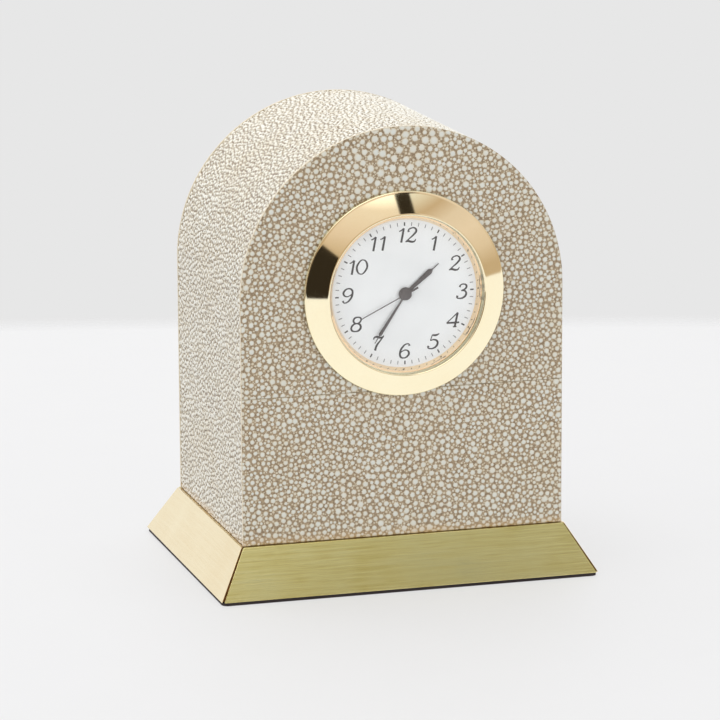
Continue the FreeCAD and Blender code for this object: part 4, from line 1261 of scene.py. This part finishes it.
# Strokes of each figure: how far across and up each knot is, and its weight, in hundredths.
Stroke = tuple[tuple[int, int, int], ...]
CLOSED = "08"  # figures whose strokes are rings
DIGITS: dict[str, tuple[Stroke, ...]] = {
    "0": (((30, 100, 50), (7, 76, 85), (5, 32, 100), (30, 0, 50), (53, 24, 85), (55, 68, 100)),),
    "1": (((8, 80, 50), (20, 86, 60), (30, 100, 60)), ((31, 100, 90), (31, 50, 100), (31, 0, 100))),
    "2": (
        (
            (12, 72, 110), (8, 84, 70), (20, 98, 60), (40, 98, 70),
            (52, 80, 100), (44, 56, 90), (22, 26, 60), (4, 3, 50),
        ),
        ((4, 4, 60), (18, 9, 100), (36, 2, 100), (52, 4, 70), (58, 20, 40)),
    ),
    "3": (
        ((12, 80, 110), (14, 92, 60), (32, 100, 60), (48, 88, 100), (46, 68, 90), (24, 54, 50)),
        (
            (24, 54, 50), (46, 50, 80), (55, 28, 100), (44, 5, 90),
            (22, 0, 60), (7, 8, 70), (9, 20, 110),
        ),
    ),
    "4": (
        ((46, 100, 60), (22, 66, 50), (-5, 30, 50)),
        ((-5, 29, 80), (30, 29, 90), (64, 29, 80)),
        ((46, 100, 100), (45, 50, 100), (44, 0, 100)),
        ((34, 0, 50), (44, 0, 60), (54, 0, 50)),
    ),
    "5": (
        ((18, 96, 80), (34, 93, 100), (46, 96, 80), (55, 104, 40)),
        ((18, 97, 50), (15, 76, 50), (13, 56, 50)),
        (
            (13, 56, 40), (32, 62, 70), (52, 48, 100), (54, 22, 100),
            (38, 2, 70), (18, 0, 60), (6, 8, 70), (8, 20, 110),
        ),
    ),
    "6": (
        (
            (50, 84, 110), (46, 96, 60), (32, 99, 60), (13, 78, 90), (5, 42, 100), (12, 10, 90),
            (31, 0, 60), (51, 14, 90), (54, 36, 100), (38, 55, 60), (20, 52, 50), (7, 38, 50),
        ),
    ),
    "7": (
        ((5, 78, 50), (7, 92, 70), (20, 97, 100), (38, 90, 100), (50, 92, 70), (58, 102, 40)),
        ((58, 100, 50), (42, 66, 70), (28, 34, 100), (24, 0, 110)),
    ),
    "8": (
        ((30, 100, 60), (12, 90, 90), (12, 68, 90), (30, 55, 60), (48, 68, 80), (48, 90, 80)),
        ((30, 55, 60), (8, 40, 90), (8, 12, 90), (30, 0, 60), (53, 12, 100), (53, 40, 100)),
    ),
}
DIGITS["9"] = tuple(tuple((60 - x, 100 - y, w) for x, y, w in line) for line in DIGITS["6"])


@dataclass
class Dial(Assembly):
    """White dial with printed minute ticks and slanting numerals."""

    radius: float = 20.0
    hole: float = 1.35
    back: float = 0.57
    front: float = 0.97
    tick_outer: float = 17.4
    tick_length: float = 0.9
    tick_bold: float = 0.34
    tick_fine: float = 0.2
    tick_round: float = 0.2
    print_depth: float = 0.02
    numeral_places: tuple[Flat, ...] = (
        (7.6, 11.8), (12.7, 6.7), (14.5, -0.3), (12.3, -7.2), (7.2, -12.2), (0.0, -14.1),
        (-6.9, -11.8), (-12.1, -6.8), (-14.3, 0.3), (-11.8, 7.1), (-6.4, 12.5), (0.6, 14.2),
    )
    numeral_height: float = 3.45
    numeral_stroke: float = 0.3
    numeral_width: float = 1.33
    figure_width: float = 0.6
    figure_pitch: float = 0.66
    figure_tuck: float = 0.16
    slant: float = 11.0

    def tick(self, name: str, width: float, hours: bool) -> Piece:
        """Model one tick and copy it round the dial.

        Args:
            name: The piece's name.
            width: Width of a tick.
            hours: True for the twelve bold ones, false for the rest.

        Returns:
            The joined ticks.
        """
        centre = Vector((0.0, (FACE_Y - self.front - self.print_depth / 2) * MM, CLOCK_Z * MM))
        middle = centre + Vector((0.0, 0.0, (self.tick_outer - self.tick_length / 2) * MM))
        there, back = Matrix.Translation(centre), Matrix.Translation(-centre)
        deselect()
        bpy.ops.mesh.primitive_cube_add(size=1.0, location=middle)
        first = bpy.context.object
        first.scale = (width * MM, self.print_depth * MM, self.tick_length * MM)
        first = joined([first], name)
        rounded(first, width * self.tick_round, 1, 60.0)
        copies = []
        for minute in range(60):
            if (minute % 5 == 0) == hours:
                turn = Matrix.Rotation(math.tau * minute / 60, 4, "Y")
                copies.append(linked(f"{name}_{minute}", first.data.copy()))
                copies[-1].matrix_world = there @ turn @ back
        bpy.data.objects.remove(first)
        return joined(copies, name)

    def numeral(self, hour: int) -> Piece:
        """Draw one hour's figures as strokes of changing width.

        Args:
            hour: The hour, 1 to 12.

        Returns:
            The figures, in place on the dial.
        """
        name, text = f"figures_{hour}", str(hour)
        curve = bpy.data.curves.new(name, "CURVE")
        curve.dimensions = "3D"
        curve.bevel_depth = self.numeral_stroke * MM
        curve.bevel_resolution = 1
        curve.resolution_u = 5
        curve.use_fill_caps = True
        tuck = self.figure_tuck if len(text) > 1 else 0.0
        width = self.figure_width + self.figure_pitch * (len(text) - 1) - tuck
        for place, digit in enumerate(text):
            shift = place * self.figure_pitch - (tuck if place else 0.0) - width / 2
            for line in DIGITS[digit]:
                spline = curve.splines.new("BEZIER")
                spline.bezier_points.add(len(line) - 1)
                spline.use_cyclic_u = digit in CLOSED
                for knot, (x, y, weight) in zip(spline.bezier_points, line):
                    high = (y / 100 - 0.5) * self.numeral_height
                    across = (x / 100 + shift) * self.numeral_height * self.numeral_width
                    across += high * math.tan(math.radians(self.slant))
                    knot.co = (across * MM, 0.0, high * MM)
                    knot.radius = weight / 100
                    knot.handle_left_type = knot.handle_right_type = "AUTO"
        pick(linked(name, curve))
        bpy.ops.object.convert(target="MESH")
        piece = bpy.context.object
        across, high = self.numeral_places[hour - 1]
        piece.scale = (1.0, self.print_depth / (2 * self.numeral_stroke), 1.0)
        where = (across, FACE_Y - self.front - self.print_depth / 2, CLOCK_Z + high)
        piece.location = [value * MM for value in where]
        return joined([piece], name)

    def build(self) -> None:
        """Turn the disc, print the ticks and figures and dress them."""
        outline = [(self.hole, self.back), (self.radius, self.back)]
        outline += [(self.radius, self.front), (self.hole, self.front)]
        disc = turned("dial_disc", outline, 96, 30.0)
        bold = self.tick("dial_hour_ticks", self.tick_bold, True)
        fine = self.tick("dial_minute_ticks", self.tick_fine, False)
        numerals = joined([self.numeral(hour) for hour in range(1, 13)], "dial_numerals")
        smoothed(numerals, 60.0)
        self.hand_over(disc, "clock_insert", "dial_white", node="dial")
        for piece, finish in ((bold, "ink"), (fine, "ink_pale"), (numerals, "ink")):
            self.hand_over(piece, "clock_insert", finish, "hand_black")


@dataclass
class Hands(Assembly):
    """Three hands with softened edges, and the cap over their middle."""

    edge: float = 0.04
    cap: tuple[Flat, ...] = (
        (0.0, 2.14), (1.3, 2.14), (1.3, 2.17), (1.04, 2.22), (0.52, 2.24), (0.0, 2.24),
    )
    tip: float = 0.995
    shoulder: Flat = (0.7, 0.8)
    shoulder_at: float = 0.825
    shoulder_half: float = 0.41

    def fill_out(self, piece: Piece) -> None:
        """Carry a blade's full width on to a blunt shoulder near its tip.

        Args:
            piece: The copied hand.
        """
        axis = Vector((0.0, 0.0, CLOCK_Z * MM))
        flat = [Vector((p.co.x, 0.0, p.co.z)) - axis for p in piece.data.vertices]
        far = max(v.length for v in flat)
        along = sum((v for v in flat if v.length > far * self.tip), Vector()).normalized()
        across = Vector((along.z, 0.0, -along.x))
        for point, v in zip(piece.data.vertices, flat):
            if self.shoulder[0] < v.dot(along) / far < self.shoulder[1]:
                side = math.copysign(self.shoulder_half * MM, v.dot(across))
                place = axis + along * far * self.shoulder_at + across * side
                point.co.x, point.co.z = place.x, place.z

    def build(self) -> None:
        """Cap the middle, soften each hand's edges and dress them."""
        self.hand_over(turned("hand_cap", self.cap, 48, 40.0), "seconds", "hand_black")
        for hand, body in (("hour", "hours"), ("minute", "minutes"), ("second", "seconds")):
            piece = copied(f"{hand}_hand", f"{hand}_pointer")
            if hand == "minute":
                self.fill_out(piece)
            rounded(piece, self.edge, 2, 50.0)
            smoothed(piece, 40.0)
            self.hand_over(piece, body, "hand_black", node=f"{hand}_hand")


@dataclass
class Studio:
    """Camera, pale table and soft light. A card gives linear colours by degrees above level."""

    focal_pixels: float = 4097.17
    yaw: float = 16.3474
    pitch: float = 12.1381
    roll: float = -0.3013
    eye: Spot = (-282.4253, -955.8899, 264.0614)
    shift: Flat = (-1.1658, -1.0815)
    frame_pixels: float = 720.0
    sensor: float = 36.0
    table_half: float = 640.0
    left_card: tuple = (
        (10.0, (0.54, 0.39, 0.25)), (14.0, (0.60, 0.45, 0.31)), (25.0, (0.78, 0.63, 0.53)),
        (38.0, (0.88, 0.75, 0.65)), (47.0, (1.82, 1.78, 1.67)), (65.0, (1.82, 1.78, 1.67)),
        (85.0, (1.2, 1.2, 1.18)),
    )
    right_card: tuple = (
        (0.0, (0.56, 0.42, 0.29)), (8.5, (0.73, 0.59, 0.48)), (18.0, (0.80, 0.66, 0.57)),
        (27.0, (0.75, 0.62, 0.53)), (34.0, (0.57, 0.42, 0.29)), (44.0, (0.93, 0.91, 0.86)),
        (65.0, (0.93, 0.91, 0.86)), (85.0, (1.2, 1.2, 1.18)),
    )
    cards_meet: Flat = (17.0, 27.0)
    stand: Sides = (-52.0, -15.0, -40.0, 11.5)
    stand_slope: Flat = (23.5, 0.8)
    stripe: Sides = (15.2, 26.0, 27.0, 44.0)
    floor_edge: Sides = (-35.0, 67.0, -10.5, -5.0)
    floor_soft: Flat = (-0.4, 0.4)
    behind: Flat = (-0.05, 0.12)
    patch_soft: float = 0.5
    dark: Paint = (0.03, 0.022, 0.014, 1.0)
    floor_glow: Paint = (1.0, 0.965, 0.955, 1.0)
    wall_glow: Paint = (0.97, 0.97, 1.0, 1.0)
    plain_glow: Paint = (0.76, 0.76, 0.76, 1.0)
    wall: Spot = (231, 231, 231)
    lamps: tuple = (
        ("lamp_above", (-60, 250, 900), 900, 7.4),
        ("lamp_key", (-700, -950, 400), 800, 3.0),
        ("lamp_left", (-1000, -150, 400), 600, 2.7),
        ("lamp_fill", (500, -950, 240), 700, 3.0),
    )
    aim: Spot = (0, 0, 60)

    def camera(self) -> None:
        """Stand the camera where the photograph was taken from."""
        yaw, pitch, roll = (math.radians(a) for a in (self.yaw, self.pitch, self.roll))
        flat = math.cos(pitch)
        ahead = Vector((math.sin(yaw) * flat, math.cos(yaw) * flat, -math.sin(pitch)))
        right = Vector((math.cos(yaw), -math.sin(yaw), 0.0))
        up = right.cross(ahead)
        level = math.cos(roll) * right + math.sin(roll) * up
        upright = -math.sin(roll) * right + math.cos(roll) * up
        data = bpy.data.cameras.new("camera")
        data.sensor_width = self.sensor
        data.lens = self.focal_pixels * self.sensor / self.frame_pixels
        data.shift_x = -self.shift[0] / self.frame_pixels
        data.shift_y = self.shift[1] / self.frame_pixels
        data.clip_start = 0.01
        camera = linked("camera", data)
        turn = Matrix((level, upright, -ahead)).transposed().to_4x4()
        camera.matrix_world = Matrix.Translation(Vector(self.eye) * MM) @ turn
        bpy.context.scene.camera = camera

    def table(self) -> None:
        """Lay the pale table top, which gloss does not see."""
        deselect()
        bpy.ops.mesh.primitive_plane_add(size=2 * self.table_half * MM, location=(0, 0, 0))
        table = newest("table_top")
        table.data.materials.append(FloorFinish("table").make())
        table.visible_glossy = False
        table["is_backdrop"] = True

    def lamp(self, name: str, place: Spot, size: float, power: float) -> None:
        """Hang a soft square lamp, which gloss does not see.

        Args:
            name: The lamp's name.
            place: Where it hangs.
            size: Its side.
            power: Its power in watts.
        """
        data = bpy.data.lights.new(name, "AREA")
        data.size = size * MM
        data.energy = power
        lamp = linked(name, data)
        lamp.location = Vector(place) * MM
        lamp.rotation_euler = (Vector(self.aim) - Vector(place)).to_track_quat("-Z", "Y").to_euler()
        lamp.visible_glossy = False

    def room(self) -> None:
        """Fill the room with plain light, cards that gloss mirrors and a wall that the eye sees."""
        world = bpy.data.worlds.new("room")
        bpy.context.scene.world = world
        world.use_nodes = True
        s = Steps(world.node_tree)
        across, along, height = s.parts(s.add("TexCoord").outputs["Generated"])
        front = s.work("MULTIPLY", along, -1.0)
        turn = s.work("MULTIPLY", s.work("ARCTAN2", across, front), math.degrees(1.0))
        lift = s.work("MULTIPLY", s.work("ARCSINE", height), math.degrees(1.0))
        share = s.work("DIVIDE", lift, 90.0)
        both = (self.left_card, self.right_card)
        left, right = (s.ramp(share, [(at / 90.0, c) for at, c in card]) for card in both)
        cards = s.blend(s.span(turn, *self.cards_meet), left, right)
        start, slope = self.stand_slope
        slanting = s.work("ADD", lift, s.work("MULTIPLY", s.work("ADD", turn, start), slope))
        stand = self.patch(s, turn, slanting, self.stand)
        stripe = self.patch(s, turn, lift, self.stripe)
        cards = s.blend(s.work("MAXIMUM", stand, stripe), cards, self.dark)
        edge = s.work("SUBTRACT", lift, s.span(turn, *self.floor_edge))
        cards = s.blend(s.span(edge, *self.floor_soft), self.floor_glow, cards)
        cards = s.blend(s.span(front, *self.behind, 1.0, 0.0), cards, self.wall_glow)
        path = s.add("LightPath").outputs
        lit = s.blend(path["Is Glossy Ray"], self.plain_glow, cards)
        background = s.add("Background", {"Color": s.blend(path["Is Camera Ray"], lit, self.wall)})
        s.add("OutputWorld", {"Surface": background.outputs[0]})

    def patch(self, s: Steps, turn: Socket, lift: Socket, sides: Sides) -> Socket:
        """Mark one patch of the room, soft at its edge.

        Args:
            s: The tree.
            turn: Degrees to the right of straight ahead of the clock.
            lift: Degrees above level.
            sides: The patch's left and right, and its foot and top.

        Returns:
            One inside the patch and nought outside.
        """
        edges = zip((turn, turn, lift, lift), sides, (0.0, 1.0, 0.0, 1.0))
        soft = self.patch_soft
        marks = [s.span(fac, at - soft, at + soft, first, 1.0 - first) for fac, at, first in edges]
        return reduce(lambda patch, mark: s.work("MULTIPLY", patch, mark), marks)

    def build(self) -> None:
        """Set up the camera, table, room and lamps."""
        self.camera()
        self.table()
        self.room()
        for lamp in self.lamps:
            self.lamp(*lamp)
        bpy.context.scene.view_settings.view_transform = "Standard"


def corners() -> list[list[float]]:
    """Lowest and highest corner of all that shows, as plain lists."""
    return [list(corner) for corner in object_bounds()]


def main() -> None:
    """Load the frame and build the clock around it."""
    logging.basicConfig(level=logging.INFO, format="%(name)s: %(message)s")
    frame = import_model()
    wardrobe = Wardrobe()
    wardrobe.dress_solids(frame["nodes"])
    Studio().build()
    for kind in (Covering, Base, Bezel, Dial, Hands):
        kind(wardrobe).build()
        LOG.info("finished %s", kind.__name__)


if __name__ == "__main__":
    main()
